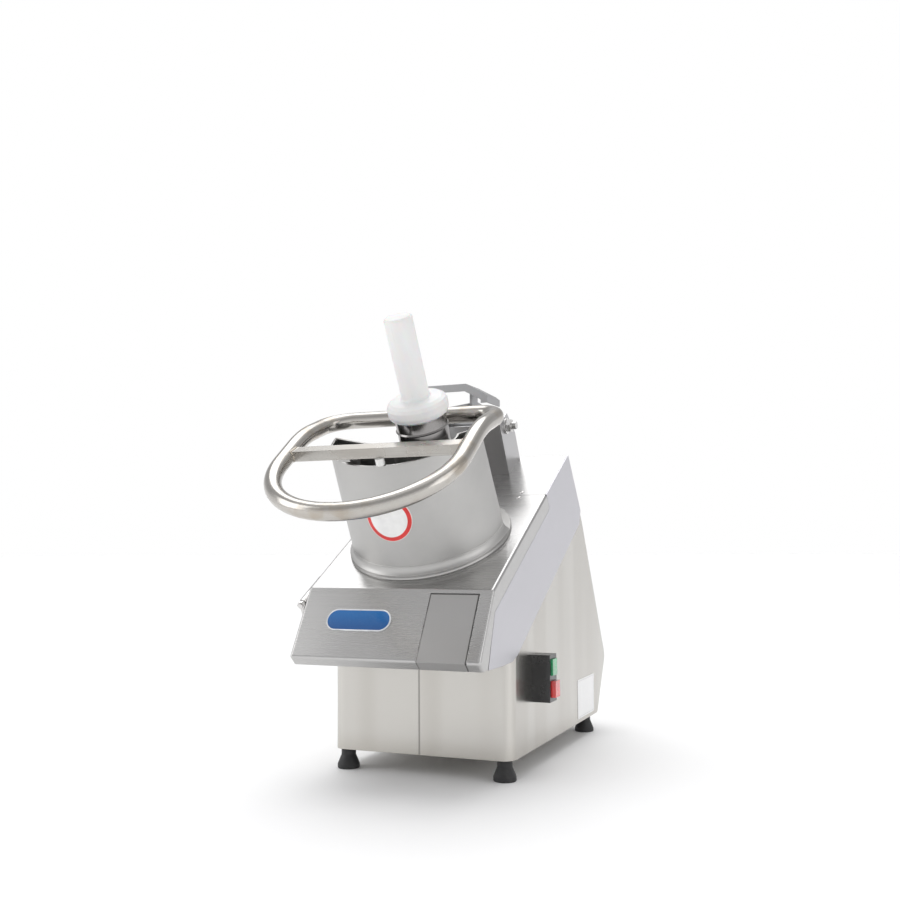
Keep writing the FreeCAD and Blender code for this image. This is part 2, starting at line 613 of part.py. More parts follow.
def make_belt():
    low = "(pulley_low_n + pulley_top_n - belt_w) / 2"
    high = "(pulley_low_n + pulley_top_n + belt_w) / 2"
    loops = []
    for name, extra in (("belt_inner", "belt_gap"), ("belt_outer", "belt_gap + belt_t")):
        grow = D["belt_gap"] + (D["belt_t"] if name == "belt_outer" else 0)
        straight = slab(name + "_run", belt_outline(D["pulley_r"] + grow, D["motor_pulley_r"] + grow), low,
                        high, "XY_Plane")
        big = rod(name + "_big", "pulley_r + " + extra, "belt_w", "0", "axis_s", low)
        small = rod(name + "_small", "motor_pulley_r + " + extra, "belt_w", "0", "motor_s", low)
        loops.append(fuse(name, straight, big, small))
    finish("drive_belt", cut("belt_cut", loops[1], loops[0]), head_place())


def make_motor():
    nose = "motor_foot_top_n"
    case = turned("motor_case", [("motor_shaft_r + 3", "motor_low_n"), ("motor_r", "motor_low_n"),
                                 ("motor_r", "motor_top_n"),
                                 ("motor_nose_r", "motor_top_n"), ("motor_nose_r", nose + " + 3"),
                                 ("motor_shaft_r + 3", nose + " + 3")], "0", "motor_s")
    finish("motor_body", case, head_place())
    wide = "width / 2 - sheet - 1"
    plate = box("motor_plate", ("-(%s)" % wide, wide), ("motor_foot_s0", "motor_foot_s1"),
                ("motor_foot_top_n - motor_foot", "motor_foot_top_n"))
    eye = rod("motor_eye", "motor_nose_r + gap", "20", "0", "motor_s", "motor_foot_top_n - 10")
    finish("motor_mount", cut("motor_plate_cut", plate, eye), head_place())
    cowl = turned("cowl_case", [("cowl_r - 1.5", "motor_low_n - 2"), ("cowl_r", "motor_low_n - 2"),
                                ("cowl_r", "cowl_low_n"),
                                ("12", "cowl_low_n"), ("12", "cowl_low_n + 1.5"), ("cowl_r - 1.5",
                                                                                   "cowl_low_n + 1.5")],
                  "0", "motor_s")
    finish("fan_cowl", cowl, head_place())
    shaft = rod("rotor", "motor_shaft_r", "pulley_top_n + 2 - cowl_low_n - 6", "0", "motor_s",
                "cowl_low_n + 6")
    finish("motor_shaft", shaft, head_place())
    small = ring("small_wheel", "motor_shaft_r + 0.02", "motor_pulley_r", "pulley_low_n", "pulley_top_n",
                 y="motor_s")
    finish("motor_pulley", small, head_place())
    hub = ring("fan_hub", "motor_shaft_r + 0.02", "16", "cowl_low_n + 8", "cowl_low_n + 26", y="motor_s")
    blades = []
    for i in range(8):
        blade = box("fan_blade", ("14", "fan_r"), ("-1", "1"), ("0", "16"))
        blade.Placement = FreeCAD.Placement(V(), FreeCAD.Rotation(V(0, 0, 1), 45 * i)).multiply(
            FreeCAD.Placement(V(14, -1, 0), FreeCAD.Rotation()))
        for letter in "xyz":
            blade.setExpression("Placement.Base." + letter, None)
        blades.append(blade)
    vanes = fuse("fan_blades", *blades)
    set_base(vanes, "0", "motor_s", "cowl_low_n + 9")
    finish("motor_fan", fuse("fan_fuse", hub, vanes), head_place())


# ---------------------------------------------------------------- lid

def lip_frame():
    """Unit steps down the lip and out of it, in the head frame's Y and Z."""
    length = math.hypot(D["lip_s"], D["lip_n"])
    down = (D["lip_s"] / length, D["lip_n"] / length)
    out = (down[1], -down[0])
    return length, down, out


def lip_point(drop, depth):
    """Point a distance down the lip and a depth behind its face."""
    down, out = lip_frame()[1:]
    return ("%.4f" % (down[0] * drop - out[0] * depth), "%.4f" % (down[1] * drop - out[1] * depth))


def lip_sheet(name, low, high, x_low, x_high, front=0.0, back=None):
    """Flat strip in the plane of the lip."""
    back = D["sheet"] if back is None else back
    points = [lip_point(low, front), lip_point(high, front), lip_point(high, back), lip_point(low, back)]
    return slab(name, points, x_low, x_high)


def hopper_region(name, inset, low, high):
    """Plan of the crescent hopper: the front of the circle, bent round the feed tube."""
    plan = slab(name + "_plan", [("hopper_x - 110", "axis_s - 110"), ("hopper_x + 110", "axis_s - 110"),
                                 ("hopper_x + 110", "axis_s + 22 - %s" % inset), ("tube_x + nest_r",
                                                                                  "tube_s + 10 - %s" % inset),
                                 ("tube_x", "tube_s - 10"), ("hopper_x - 27", "axis_s - 29 - %s" % inset),
                                 ("hopper_x - 110", "axis_s + 4 - %s" % inset)], low, high, "XY_Plane")
    nest = rod(name + "_nest", "nest_r + %s" % inset, "(%s) - (%s)" % (high, low), "tube_x", "tube_s", low)
    return cut(name + "_region", plan, nest)


def cone(name, low_r, high_r, low, high):
    obj = doc.addObject("Part::Cone", name)
    bind(obj, "Radius1", low_r)
    bind(obj, "Radius2", high_r)
    bind(obj, "Height", "(%s) - (%s)" % (high, low))
    set_base(obj, "hopper_x", "axis_s", low)
    return obj


def lid_block(name, points, x_low, x_high, radius):
    """Lid block with its fold, side edges and hem edge bent to one radius."""
    body = slab(name, points, x_low, x_high)
    doc.recompute()
    pad = body.Tip
    (fold_s, fold_n), (lip_s, lip_n), (hem_s, hem_n) = [(float(u), float(w)) for u, w in
                                                        (points[0], points[-1], points[-2])]
    top_s = float(points[1][0])

    def on_top(point):
        return near(point.z, fold_n) and fold_s - 0.01 < point.y < top_s + 0.01

    def on_lip(point):
        return ((near(point.y, fold_s) and near(point.z, fold_n))
                or (near(point.y, lip_s) and near(point.z, lip_n)))

    def on_hem(point):
        return ((near(point.y, hem_s) and near(point.z, hem_n))
                or (near(point.y, lip_s) and near(point.z, lip_n)))

    names = set(edges_where(pad.Shape, on_top) + edges_where(pad.Shape, on_lip) + edges_where(pad.Shape,
                                                                                              on_hem))
    ends = [(top_s, fold_n), (hem_s, hem_n)]
    keep = []
    for edge_name in sorted(names):
        spots = [v.Point for v in pad.Shape.getElement(edge_name).Vertexes]
        across = abs(spots[0].x - spots[-1].x) > 1
        at_end = any(near(spots[0].y, s) and near(spots[0].z, n) for s, n in ends)
        if not (across and at_end):
            keep.append(edge_name)
    fillet = body.newObject("PartDesign::Fillet", name + "_bends")
    fillet.Base = (pad, keep)
    bind(fillet, "Radius", radius)
    body.Tip = fillet
    doc.recompute()
    return body


def lid_outline():
    """Side profile of the lid: top, cut-back rear end, lower edge, hem and lip."""
    low = D["flange_n"] + 2 * D["gap"]
    return [(0, 0), (D["lid_len"], 0), (D["strip_end_s"] - 0.6, D["flange_n"] + 3.3),
            (D["strip_low_s"] - 0.5, low),
            (D["flange_s"] - 0.9, low), (D["skirt_tip_s"] - 1.2, D["skirt_tip_n"] + 1.4),
            (D["hem_s"], D["hem_n"]), (D["lip_s"], D["lip_n"])]


def lid_hollow():
    """Side profile of the space inside the lid, left open underneath and behind."""
    corners = inset(lid_outline(), -D["sheet"])
    fold, lip = corners[0], corners[-1]
    length = math.hypot(D["hem_s"] - D["lip_s"], D["hem_n"] - D["lip_n"])
    reach = 2 * length
    hem = (lip[0] + (D["hem_s"] - D["lip_s"]) / length * reach,
           lip[1] + (D["hem_n"] - D["lip_n"]) / length * reach)
    far = D["lid_len"] + 2 * length
    return [fold, (far, fold[1]), (far, hem[1]), hem, lip]


def make_lid_shell():
    length = lip_frame()[0]
    outer = lid_block("lid_outer", as_text(lid_outline()), "lid_left", SKIRT_OUT, "lid_bend")
    inner = lid_block("lid_inner", as_text(lid_hollow()), "lid_left + sheet", SKIRT_IN, "lid_bend - sheet")
    skin = cut("lid_skin", outer, inner)
    trim = box("lid_left_trim", ("lid_left - 1", "lid_left + 2 * sheet"), ("flange_s", "lid_len + 10"),
               ("flange_n - 1", "lid_edge_n"))
    crescent = common("lid_crescent", hopper_region("lid_opening", "hopper_t", "-10", "10"),
                      rod("lid_circle", "hopper_r - hopper_t", "20", "hopper_x", "axis_s", "-10"))
    tube_hole = rod("lid_tube_hole", "tube_bore_r", "20", "tube_x", "tube_s", "-10")
    x0, x1 = "latch_x0 - latch_gap", "latch_x1 + latch_gap"
    window = lip_sheet("latch_window", D["latch_top"] - D["latch_gap"], length + 30, x0, x1, -8, 24)
    stay = lip_sheet("latch_stay", D["latch_pin_drop"] - 7, D["latch_pin_drop"] + 7, "latch_x0 - 12",
                     "latch_x0 - 9",
                     D["sheet"] - 0.2, D["latch_pin_depth"] + 6)
    s, n = lip_point(D["latch_pin_drop"], D["latch_pin_depth"])
    eye = rod("stay_eye", "latch_pin_r + 0.02", "20", "latch_x0 - 20", s, n, "x")
    stayed = fuse("lid_stayed", skin, stay)
    finish("lid_shell", cut("lid_cut", stayed, crescent, tube_hole, window, trim, eye), head_place())


def make_rear_plate():
    top = box("rear_top", ("lid_left", "%s - gap" % SKIRT_IN), ("lid_len + 0.5", "head_len - 2"),
              ("-sheet", "0"))
    flange = box("rear_flange", ("lid_left", "lid_left + sheet"), ("strip_end_s + 0.3", "head_len - 2"),
                 ("lid_edge_n", "0"))
    finish("lid_rear_plate", fuse("rear_fuse", top, flange), head_place())
    strap = box("strap", ("-width / 2 + 12", "width / 2 - 12"), ("lid_len - 12", "lid_len + 14"),
                ("-2 * sheet - 0.5", "-sheet"))
    finish("lid_joint_strap", strap, head_place())
    rivets = []
    for s in ("lid_len - 6", "lid_len + 8"):
        for i in range(-2, 3):
            x = "%d * 40" % i
            rivets.append(turned("rivet", [("0", "0"), ("3", "0"), ("2.2", "1"), ("0", "1.3")], x, s, "0"))
    finish("lid_rivets", group("rivet_set", *rivets), head_place())


def make_hinge():
    x, n, r = "hinge_x", "hinge_n", "hinge_r"
    spots = ("hinge_front_s", "hinge_back_s")
    fixed = []
    moving = []
    for start in spots:
        barrel = rod("fixed_barrel", r, "knuckle_len", x, start, n, "y")
        web = box("fixed_web", (x + " - hinge_r", x + " - 1"), (start, start + " + knuckle_len"),
                  ("flange_n - 16", n))
        foot = box("fixed_foot", (x + " - hinge_r", "-(%s)" % SKIRT_OUT), (start, start + " + knuckle_len"),
                   ("flange_n - 16", "flange_n - 3"))
        hole = rod("fixed_eye", "hinge_pin_r + run_gap", "knuckle_len + 2", x, start + " - 1", n, "y")
        fixed.append(cut("fixed_knuckle", fuse("fixed_fuse", barrel, web, foot), hole))
        begin = start + " + knuckle_len + 0.5"
        barrel = rod("lid_barrel", r, "knuckle_len", x, begin, n, "y")
        leaf = box("lid_leaf", (x, "lid_left"), (begin, begin + " + knuckle_len"), (n + " - 3", n + " + 5"))
        hole = rod("lid_eye", "hinge_pin_r + run_gap", "knuckle_len + 2", x, begin + " - 1", n, "y")
        moving.append(cut("lid_knuckle", fuse("lid_knuckle_fuse", barrel, leaf), hole))
    finish("frame_knuckles", group("fixed_set", *fixed), head_place())
    finish("lid_knuckles", group("moving_set", *moving), head_place())
    length = "2 * knuckle_len + 12"
    pins = [rod("hinge_rod", "hinge_pin_r", length, x, start + " - 6", n, "y") for start in spots]
    finish("hinge_pins", group("pin_set", *pins), head_place())
    nuts = []
    for start in spots:
        for at in (" - 4.5", " + 2 * knuckle_len + 1"):
            block = hexagon("hinge_nut", "hinge_pin_r + 2", "3.5", x, start + at, n, "y")
            nuts.append(cut("hinge_nut_cut", block, rod("nut_hole", "hinge_pin_r + 0.02", "6", x,
                                                        start + at + " - 1", n, "y")))
    finish("hinge_nuts", group("nut_set", *nuts), head_place())


def make_hopper():
    outer = common("hopper_outer", hopper_region("hopper_out", "0", "0", "hopper_h"),
                   cone("hopper_out_cone", "hopper_r", "hopper_top_r", "0", "hopper_h"))
    foot = rod("cove_block", "bead_r", "bead_t + cove", "hopper_x", "axis_s")
    scoop = doc.addObject("Part::Torus", "cove_scoop")
    bind(scoop, "Radius1", "hopper_r + cove")
    bind(scoop, "Radius2", "cove")
    set_base(scoop, "hopper_x", "axis_s", "bead_t + cove")
    front = common("cove_front", cut("cove_ring", foot, scoop),
                   hopper_region("cove_region", "0", "0", "bead_t + cove"))
    bead = turned("bead", [("0", "0"), ("bead_r", "0"), ("bead_r + 0.6", "bead_t / 2"),
                           ("bead_r", "bead_t"), ("0", "bead_t")],
                  "hopper_x", "axis_s")
    inner = common("hopper_inner", hopper_region("hopper_in", "hopper_t", "-1", "hopper_h + 1"),
                   cone("hopper_in_cone", "hopper_r - hopper_t", "hopper_top_r - hopper_t", "-1",
                        "hopper_h + 1"))
    tube_hole = rod("bead_tube_hole", "tube_r + gap", "bead_t + 2", "tube_x", "tube_s", "-1")
    finish("hopper", cut("hopper_cut", fuse("hopper_fuse", outer, front, bead), inner, tube_hole),
           head_place())
    tube = turned("tube", [("tube_bore_r", "0"), ("tube_r", "0"), ("tube_r", "tube_ring_n - 1.5"),
                           ("tube_r + 1.3", "tube_ring_n"),
                           ("tube_r", "tube_ring_n + 1.5"), ("tube_r", "tube_top_n"), ("tube_bore_r",
                                                                                       "tube_top_n")],
                  "tube_x", "tube_s")
    finish("feed_tube", tube, head_place())


def make_pestle():
    top = "tube_top_n + gap"
    profile = [("0", "pestle_low_n"), ("pestle_r - 2", "pestle_low_n"), ("pestle_r", "pestle_low_n + 2"),
               ("pestle_r", top),
               ("collar_r - 5", top), ("collar_r - 1.6", top + " + 2.5"), ("collar_r", top + " + 7"),
               ("collar_r", top + " + collar_h - 7"), ("collar_r - 1.6", top + " + collar_h - 3.2"),
               ("collar_r - 5.5", top + " + collar_h - 0.6"), ("collar_r - 9", top + " + collar_h"),
               ("stem_r + 1.5", top + " + collar_h + 0.6"), ("stem_r", top + " + collar_h + 2.4"),
               ("stem_r", "pestle_top_n - 2"), ("stem_r - 2", "pestle_top_n"), ("0", "pestle_top_n")]
    finish("pestle", turned("pestle_body", profile, "tube_x", "tube_s"), head_place())


def make_latch():
    length = lip_frame()[0]
    x0, x1 = "latch_x0", "latch_x1"
    top = D["latch_top"]
    face = lip_sheet("latch_face", top, length, x0, x1)
    hem = slab("latch_hem", [("lip_s", "lip_n"), ("hem_s", "hem_n"), ("hem_s + sheet", "hem_n + 0.4"),
                             lip_point(length - 1.8, D["sheet"])], x0, x1)
    drop, depth = D["latch_pin_drop"], D["latch_pin_depth"]
    lugs = []
    for low, high in ((x0 + " + 4", x0 + " + 4 + latch_lug"), (x1 + " - 4 - latch_lug", x1 + " - 4")):
        lugs.append(lip_sheet("latch_lug", drop - 8, drop + 8, low, high, 1, depth + 7))
    nose = lip_sheet("latch_nose", drop - 2, drop + 3, x0 + " + 7", x1 + " - 7", depth + 4, depth + 7)
    s, n = lip_point(drop, depth)
    eye = rod("latch_eye", "latch_pin_r + run_gap", "80", x0 + " - 5", s, n, "x")
    finish("latch_panel", cut("latch_cut", fuse("latch_fuse", face, hem, nose, *lugs), eye), head_place())
    pin = rod("latch_rod", "latch_pin_r", "%s - (latch_x0 - 14) - 0.1" % SKIRT_IN, "latch_x0 - 14", s, n,
              "x")
    finish("latch_pin", pin, head_place())


def coil(radius, wire, pitch, turns):
    """Coil spring along Z, swept with an eight-sided section."""
    corners = [math.radians(22.5 + 45 * i) for i in range(8)]
    section = [V(radius + wire * math.cos(a), 0, wire * math.sin(a)) for a in corners]
    path = Part.makeHelix(pitch, pitch * turns, radius)
    return Part.Wire(path.Edges).makePipeShell([Part.makePolygon(section + section[:1])], True, True)


def place_coil(name, radius, wire, pitch, turns, place):
    obj = doc.addObject("Part::Feature", name)
    obj.Shape = coil(radius, wire, pitch, turns)
    obj.Placement = place
    obj.Label = name
    NODES.append(obj)


def make_latch_spring():
    s, n = lip_point(D["latch_pin_drop"], D["latch_pin_depth"])
    start = V(D["latch_x0"] + 10, float(s), float(n))
    local = FreeCAD.Placement(start, TURN["x"])
    place_coil("latch_spring", D["latch_pin_r"] + 0.5, 0.4, 2.2, 9, head_place().multiply(local))


# ---------------------------------------------------------------- lever

def make_bracket():
    x = "bracket_x"
    front = box("bracket_front", ("-bracket_x", x), ("bracket_s", "bracket_s + sheet"),
                ("0", "bracket_top_n"))
    points = [("bracket_s", "0"), ("head_len - 3", "0"), ("head_len - 3", "bracket_back_n"),
              ("pivot_s + 12", "bracket_top_n + 2"),
              ("bracket_s", "bracket_top_n")]
    cheeks = [slab("bracket_cheek", points, low, high)
              for low, high in (("bracket_x - 2 * sheet", x), ("-bracket_x", "-bracket_x + 2 * sheet"))]
    feet = [box("bracket_foot", (low, high), ("bracket_s", "head_len - 3"), ("0", "sheet"))
            for low, high in ((x + " - 16", x), ("-bracket_x", "-bracket_x + 16"))]
    hole = rod("bracket_eye", "bolt_r + gap", "140", "-70", "pivot_s", "pivot_n", "x")
    finish("lever_bracket", cut("bracket_cut", fuse("bracket_fuse", front, *cheeks, *feet), hole),
           head_place())
    bolt = rod("bolt_shank", "bolt_r - run_gap", "2 * bolt_x", "-bolt_x", "pivot_s", "pivot_n", "x")
    nuts = []
    for x0, width in (("bracket_x", "2"), ("bracket_x + 2.2", "6"), ("-bracket_x - 2", "2"),
                      ("-bracket_x - 8.2", "6")):
        radius = "bolt_r + 5.5" if width == "2" else "bolt_r + 4"
        if width == "2":
            piece = rod("washer", radius, width, x0, "pivot_s", "pivot_n", "x")
        else:
            piece = hexagon("bolt_nut", radius, width, x0, "pivot_s", "pivot_n", "x")
        nuts.append(cut("bolt_nut_cut", piece, rod("nut_bore", "bolt_r + 0.02", "12", x0 + " - 2",
                                                   "pivot_s", "pivot_n", "x")))
    finish("pivot_bolt", group("bolt_one", bolt), head_place())
    finish("pivot_nuts", group("bolt_nuts", *nuts), head_place())
    place = FreeCAD.Placement(V(D["hub_x"] + 6, D["pivot_s"], D["pivot_n"]), TURN["x"])
    place_coil("lever_spring", D["sleeve_r"] + 2.2, 1.2, 3.4, 3.75, head_place().multiply(place))


def lever_axes():
    tilt = math.radians(D["ring_tilt"])
    return V(0, math.cos(tilt), math.sin(tilt))


def fillet_corner(before, corner, after, radius):
    """Arc that rounds the corner between two straight runs."""
    a = (before - corner).normalize()
    b = (after - corner).normalize()
    half = a.getAngle(b) / 2
    reach = radius / math.tan(half)
    start = corner + a * reach
    end = corner + b * reach
    middle_dir = (a + b).normalize()
    centre = corner + middle_dir * (radius / math.sin(half))
    middle = centre - middle_dir * radius
    return start, middle, end


def handle_half():
    """Centre line of the right half of the lever, from the front of the ring to the rear tube."""
    back = lever_axes()
    centre = V(0, D["ring_s"], D["ring_n"])
    side = centre + V(D["ring_x"], 0, 0)
    front = centre - back * D["ring_reach"]
    bend = side + back * ((D["arm_bend_s"] - side.y) / back.y)
    corner = V(D["ring_x"], D["ring_back_s"], D["ring_back_n"])
    rear = V(0, D["ring_back_s"], D["ring_back_n"])
    first = fillet_corner(side, bend, corner, D["arm_bend_r"])
    second = fillet_corner(bend, corner, rear, D["ring_corner_r"])
    ring = Part.ArcOfEllipse(Part.Ellipse(side, front, centre), 0, math.pi / 2)
    edges = [ring, Part.LineSegment(side, first[0]), Part.Arc(*first),
             Part.LineSegment(first[2], second[0]), Part.Arc(*second), Part.LineSegment(second[2], rear)]
    return Part.Wire(Part.__sortEdges__([edge.toShape() for edge in edges]))


def handle_tube(radius):
    path = handle_half()
    circle = Part.Wire(Part.makeCircle(radius, path.OrderedVertexes[0].Point, V(1, 0, 0)))
    half = path.makePipeShell([circle], True, False)
    return half.fuse(half.mirror(V(), V(1, 0, 0)))


def make_handle():
    outside = handle_tube(D["ring_tube_r"])
    obj = doc.addObject("Part::Feature", "handle_tube")
    obj.Shape = outside.cut(handle_tube(D["ring_tube_r"] - D["ring_wall"])).removeSplitter()
    obj.Placement = head_place()
    obj.Label = "ring_handle"
    NODES.append(obj)
    cope = doc.addObject("Part::Feature", "handle_cope")
    cope.Shape = outside
    return cope


def make_lever():
    cope = make_handle()
    s0, s1 = "bar_s - bar_w / 2", "bar_s + bar_w / 2"
    n0 = "bar_top_n - bar_h"
    under = n0 + " - bar_drop"
    bar = box("bar", ("-ring_x", "ring_x"), (s0, s1), (n0, "bar_top_n"))
    rib = box("bar_rib", ("-ring_x", "ring_x"), (s0 + " + 2", s1 + " - 2"), (under, n0))
    finish("crossbar", cut("bar_coped", fuse("bar_fuse", bar, rib), cope), head_place())
    length = "(%s) - hopper_h - 0.3" % under
    stop = turned("bumper_body", [("0", "0"), ("bumper_r - 1", "0"), ("bumper_r", "1"),
                                  ("bumper_r", length), ("0", length)],
                  "bumper_x", "bar_s - 3.5", "hopper_h + 0.3")
    finish("lever_bumper", stop, head_place())
    tab = box("rod_tab", ("rod_x - rod_w / 2", "rod_x + rod_w / 2"), (s0 + " + 2", "rod_s + rod_t / 2"),
              (under + " - 3", under))
    stem = box("rod_stem", ("rod_x - rod_w / 2", "rod_x + rod_w / 2"),
               ("rod_s - rod_t / 2", "rod_s + rod_t / 2"),
               ("press_top_n", under))
    finish("press_rod", fuse("rod_fuse", tab, stem), head_place())
    plan = slab("press_plan", [("hopper_x - 100", "axis_s - 100"), ("press_x", "axis_s - 100"),
                               ("press_x", "press_back_s - 12"),
                               ("hopper_x - 27", "press_back_s"), ("hopper_x - 100", "press_back_s + 14")],
                "press_low_n", "press_top_n", "XY_Plane")
    circle = rod("press_circle", "press_r", "press_top_n - press_low_n", "hopper_x", "axis_s",
                 "press_low_n")
    finish("press_plate", common("press_common", plan, circle), head_place())


def make_hub():
    sleeve = rod("sleeve", "sleeve_r", "2 * (bracket_x - 2 * sheet - 0.5)",
                 "-(bracket_x - 2 * sheet - 0.5)", "pivot_s", "pivot_n", "x")
    points = [("ring_back_s", "ring_back_n - 7"), ("bracket_s - 12", "bracket_top_n + 16"),
              ("bracket_s + 3.5", "bracket_top_n + 6"),
              ("pivot_s - 12", "pivot_n - 9"), ("pivot_s + 12", "pivot_n - 9"), ("pivot_s + 14",
                                                                                 "pivot_n + 10"),
                                                                                 ("pivot_s",
                                                                                  "pivot_n + 26"),
              ("bracket_s - 8", "bracket_top_n + 36"), ("ring_back_s", "ring_back_n + 7")]
    arms = [slab("hub_arm", points, low, high) for low, high in (("hub_x", "hub_x + hub_t"),
                                                                 ("-hub_x - hub_t", "-hub_x"))]
    clamp_s, clamp_n = "ring_back_s + 18", "ring_back_n - 8"
    stud = rod("clamp_stud", "3", "2 * hub_x + 2 * hub_t + 14", "-hub_x - hub_t - 7", clamp_s, clamp_n, "x")
    ends = [hexagon("clamp_nut", "5.5", "5", start, clamp_s, clamp_n, "x")
            for start in ("hub_x + hub_t", "-hub_x - hub_t - 5")]
    bore = rod("hub_bore", "bolt_r", "120", "-60", "pivot_s", "pivot_n", "x")
    seat = rod("hub_seat", "ring_tube_r + 0.1", "120", "-60", "ring_back_s", "ring_back_n", "x")
    finish("lever_hub", cut("hub_cut", fuse("hub_fuse", sleeve, stud, *arms, *ends), bore, seat),
           head_place())


def cover_outline():
    """Front view of the hinge cover: flat crown, sloping shoulders and short upright ends."""
    half, flat = D["cover_x"], D["cover_flat_x"]
    shoulder = half - 5
    levels = [(half, -D["cover_fall"] - D["cover_side"]), (half, -D["cover_fall"] - 4),
              (shoulder, -D["cover_fall"]),
              (flat, 0)]
    mirrored = [(-x, z) for x, z in reversed(levels)]
    return [(x, z + D["cover_top_z"]) for x, z in levels + mirrored]


def cover_block(name, points, y_low, y_high):
    """Outline padded along Y between two formulas."""
    body = doc.addObject("PartDesign::Body", name)
    pad = body.newObject("PartDesign::Pad", name + "_pad")
    pad.Profile = outline(body, "XZ_Plane", as_text(points))
    pad.Reversed = True
    bind(pad, "Length", "(%s) - (%s)" % (y_high, y_low))
    bind(body, "Placement.Base.y", y_low)
    body.Tip = pad
    return body


def make_cover():
    skin = cover_outline()
    inside = inset(skin, D["sheet"])
    mouth = inset(skin, D["cover_lip"])
    drop = 3 * D["cover_lip"]
    for hollow in (inside, mouth):
        hollow[0] = (hollow[0][0], hollow[0][1] - drop)
        hollow[-1] = (hollow[-1][0], hollow[-1][1] - drop)
    shell = cover_block("cover_outer", skin, "cover_y0", "cover_y1")
    hollow = cover_block("cover_inner", inside, "cover_y0 + sheet", "cover_y1 + 1")
    throat = cover_block("cover_throat", mouth, "cover_y0 - 1", "cover_y0 + 2 * sheet")
    hood = cut("cover_hood", shell, hollow, throat)
    posts = []
    for low, high in (("hub_x + hub_t", "hub_x + hub_t + 3"), ("-hub_x - hub_t - 3", "-hub_x - hub_t")):
        posts.append(box("cover_post", (low, high), ("cover_y0 + 20", "cover_y0 + 40"),
                         ("cover_top_z - 34", "cover_top_z - sheet")))
    finish("hinge_cover", fuse("cover_fuse", hood, *posts), base_place())


# ---------------------------------------------------------------- trims

def make_trims():
    drop = D["badge_drop"]
    half = D["badge_h"] / 2
    body = lip_sheet("badge_body", drop - half, drop + half, "badge_x - badge_w / 2", "badge_x + badge_w / 2",
                     -D["badge_t"], 0)
    finish("badge", body, head_place())
    lean = math.degrees(math.atan((D["hopper_r"] - D["hopper_top_r"]) / D["hopper_h"]))
    outer = cone("mark_outer", "hopper_r + mark_t", "hopper_top_r + mark_t", "bead_t", "hopper_h")
    inner = cone("mark_inner", "hopper_r + 0.02", "hopper_top_r + 0.02", "bead_t", "hopper_h")
    punch = rod("mark_punch", "mark_r", "60", "hopper_x", "axis_s - 120", "mark_n", "y")
    disc = common("mark_disc", cut("mark_skin", outer, inner), punch)
    finish("guard_mark", disc, head_place())


for build in (make_base_shell, make_bottom_plate, make_feet, make_control_gear, make_switch, make_gland,
              make_data_plate, make_head_frame, make_bowl, make_chute, make_grid, make_bearings, make_drive,
              make_belt, make_motor, make_lid_shell, make_rear_plate, make_hinge, make_hopper, make_pestle,
              make_latch, make_latch_spring, make_bracket, make_lever, make_hub, make_cover, make_trims):
    build()
doc.recompute()

faults = []
for obj in doc.Objects:
    if any(word in obj.State for word in ("Invalid", "Error")):
        faults.append("%s: %s" % (obj.Label, obj.State))
for obj in NODES:
    if obj.Shape.isNull() or not obj.Shape.isValid() or obj.Shape.Volume <= 0:
        faults.append("%s: bad shape" % obj.Label)
if faults:
    raise RuntimeError("; ".join(faults))

os.makedirs("parts", exist_ok=True)
for obj in NODES:
    obj.Shape.exportStep("parts/%s.step" % obj.Label)
    bound = obj.Shape.BoundBox
    print("%-18s solids %2d volume %10.0f box %s" % (obj.Label, len(obj.Shape.Solids), obj.Shape.Volume, [
        round(value, 1) for value in (bound.XMin, bound.XMax, bound.YMin, bound.YMax, bound.ZMin,
                                      bound.ZMax)]))
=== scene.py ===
"""Looks for the bench vegetable dicer: finishes, welds, floor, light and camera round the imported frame."""
import math

import bmesh
import bpy
from mathutils import Matrix, Vector, noise


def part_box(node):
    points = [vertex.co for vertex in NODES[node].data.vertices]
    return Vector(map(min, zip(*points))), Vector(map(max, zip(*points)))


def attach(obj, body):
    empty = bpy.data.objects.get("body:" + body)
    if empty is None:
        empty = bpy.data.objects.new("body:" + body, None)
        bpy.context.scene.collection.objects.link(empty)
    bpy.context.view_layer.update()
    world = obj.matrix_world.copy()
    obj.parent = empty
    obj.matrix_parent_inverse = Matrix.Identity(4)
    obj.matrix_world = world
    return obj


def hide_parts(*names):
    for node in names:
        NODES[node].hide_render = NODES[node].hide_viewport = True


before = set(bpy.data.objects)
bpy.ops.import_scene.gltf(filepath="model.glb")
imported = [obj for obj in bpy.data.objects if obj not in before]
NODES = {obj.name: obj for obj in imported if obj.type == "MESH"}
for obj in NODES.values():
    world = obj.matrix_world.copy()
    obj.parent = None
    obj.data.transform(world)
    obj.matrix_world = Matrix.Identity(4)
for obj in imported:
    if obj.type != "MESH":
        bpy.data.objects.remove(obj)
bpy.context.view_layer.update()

MM = 0.001
HEAD_SLOPE = math.radians(30)
BEVEL_SAMPLES = 4

# Noise scale per axis for brushing, in repeats a metre: slow along the strokes, fast across them
BRUSHED_ACROSS = (2.5, 1800, 1800)
BRUSHED_UPRIGHT = (1500, 1500, 4)
BRUSHED_ALONG = (900, 14, 1300)


# Node helpers

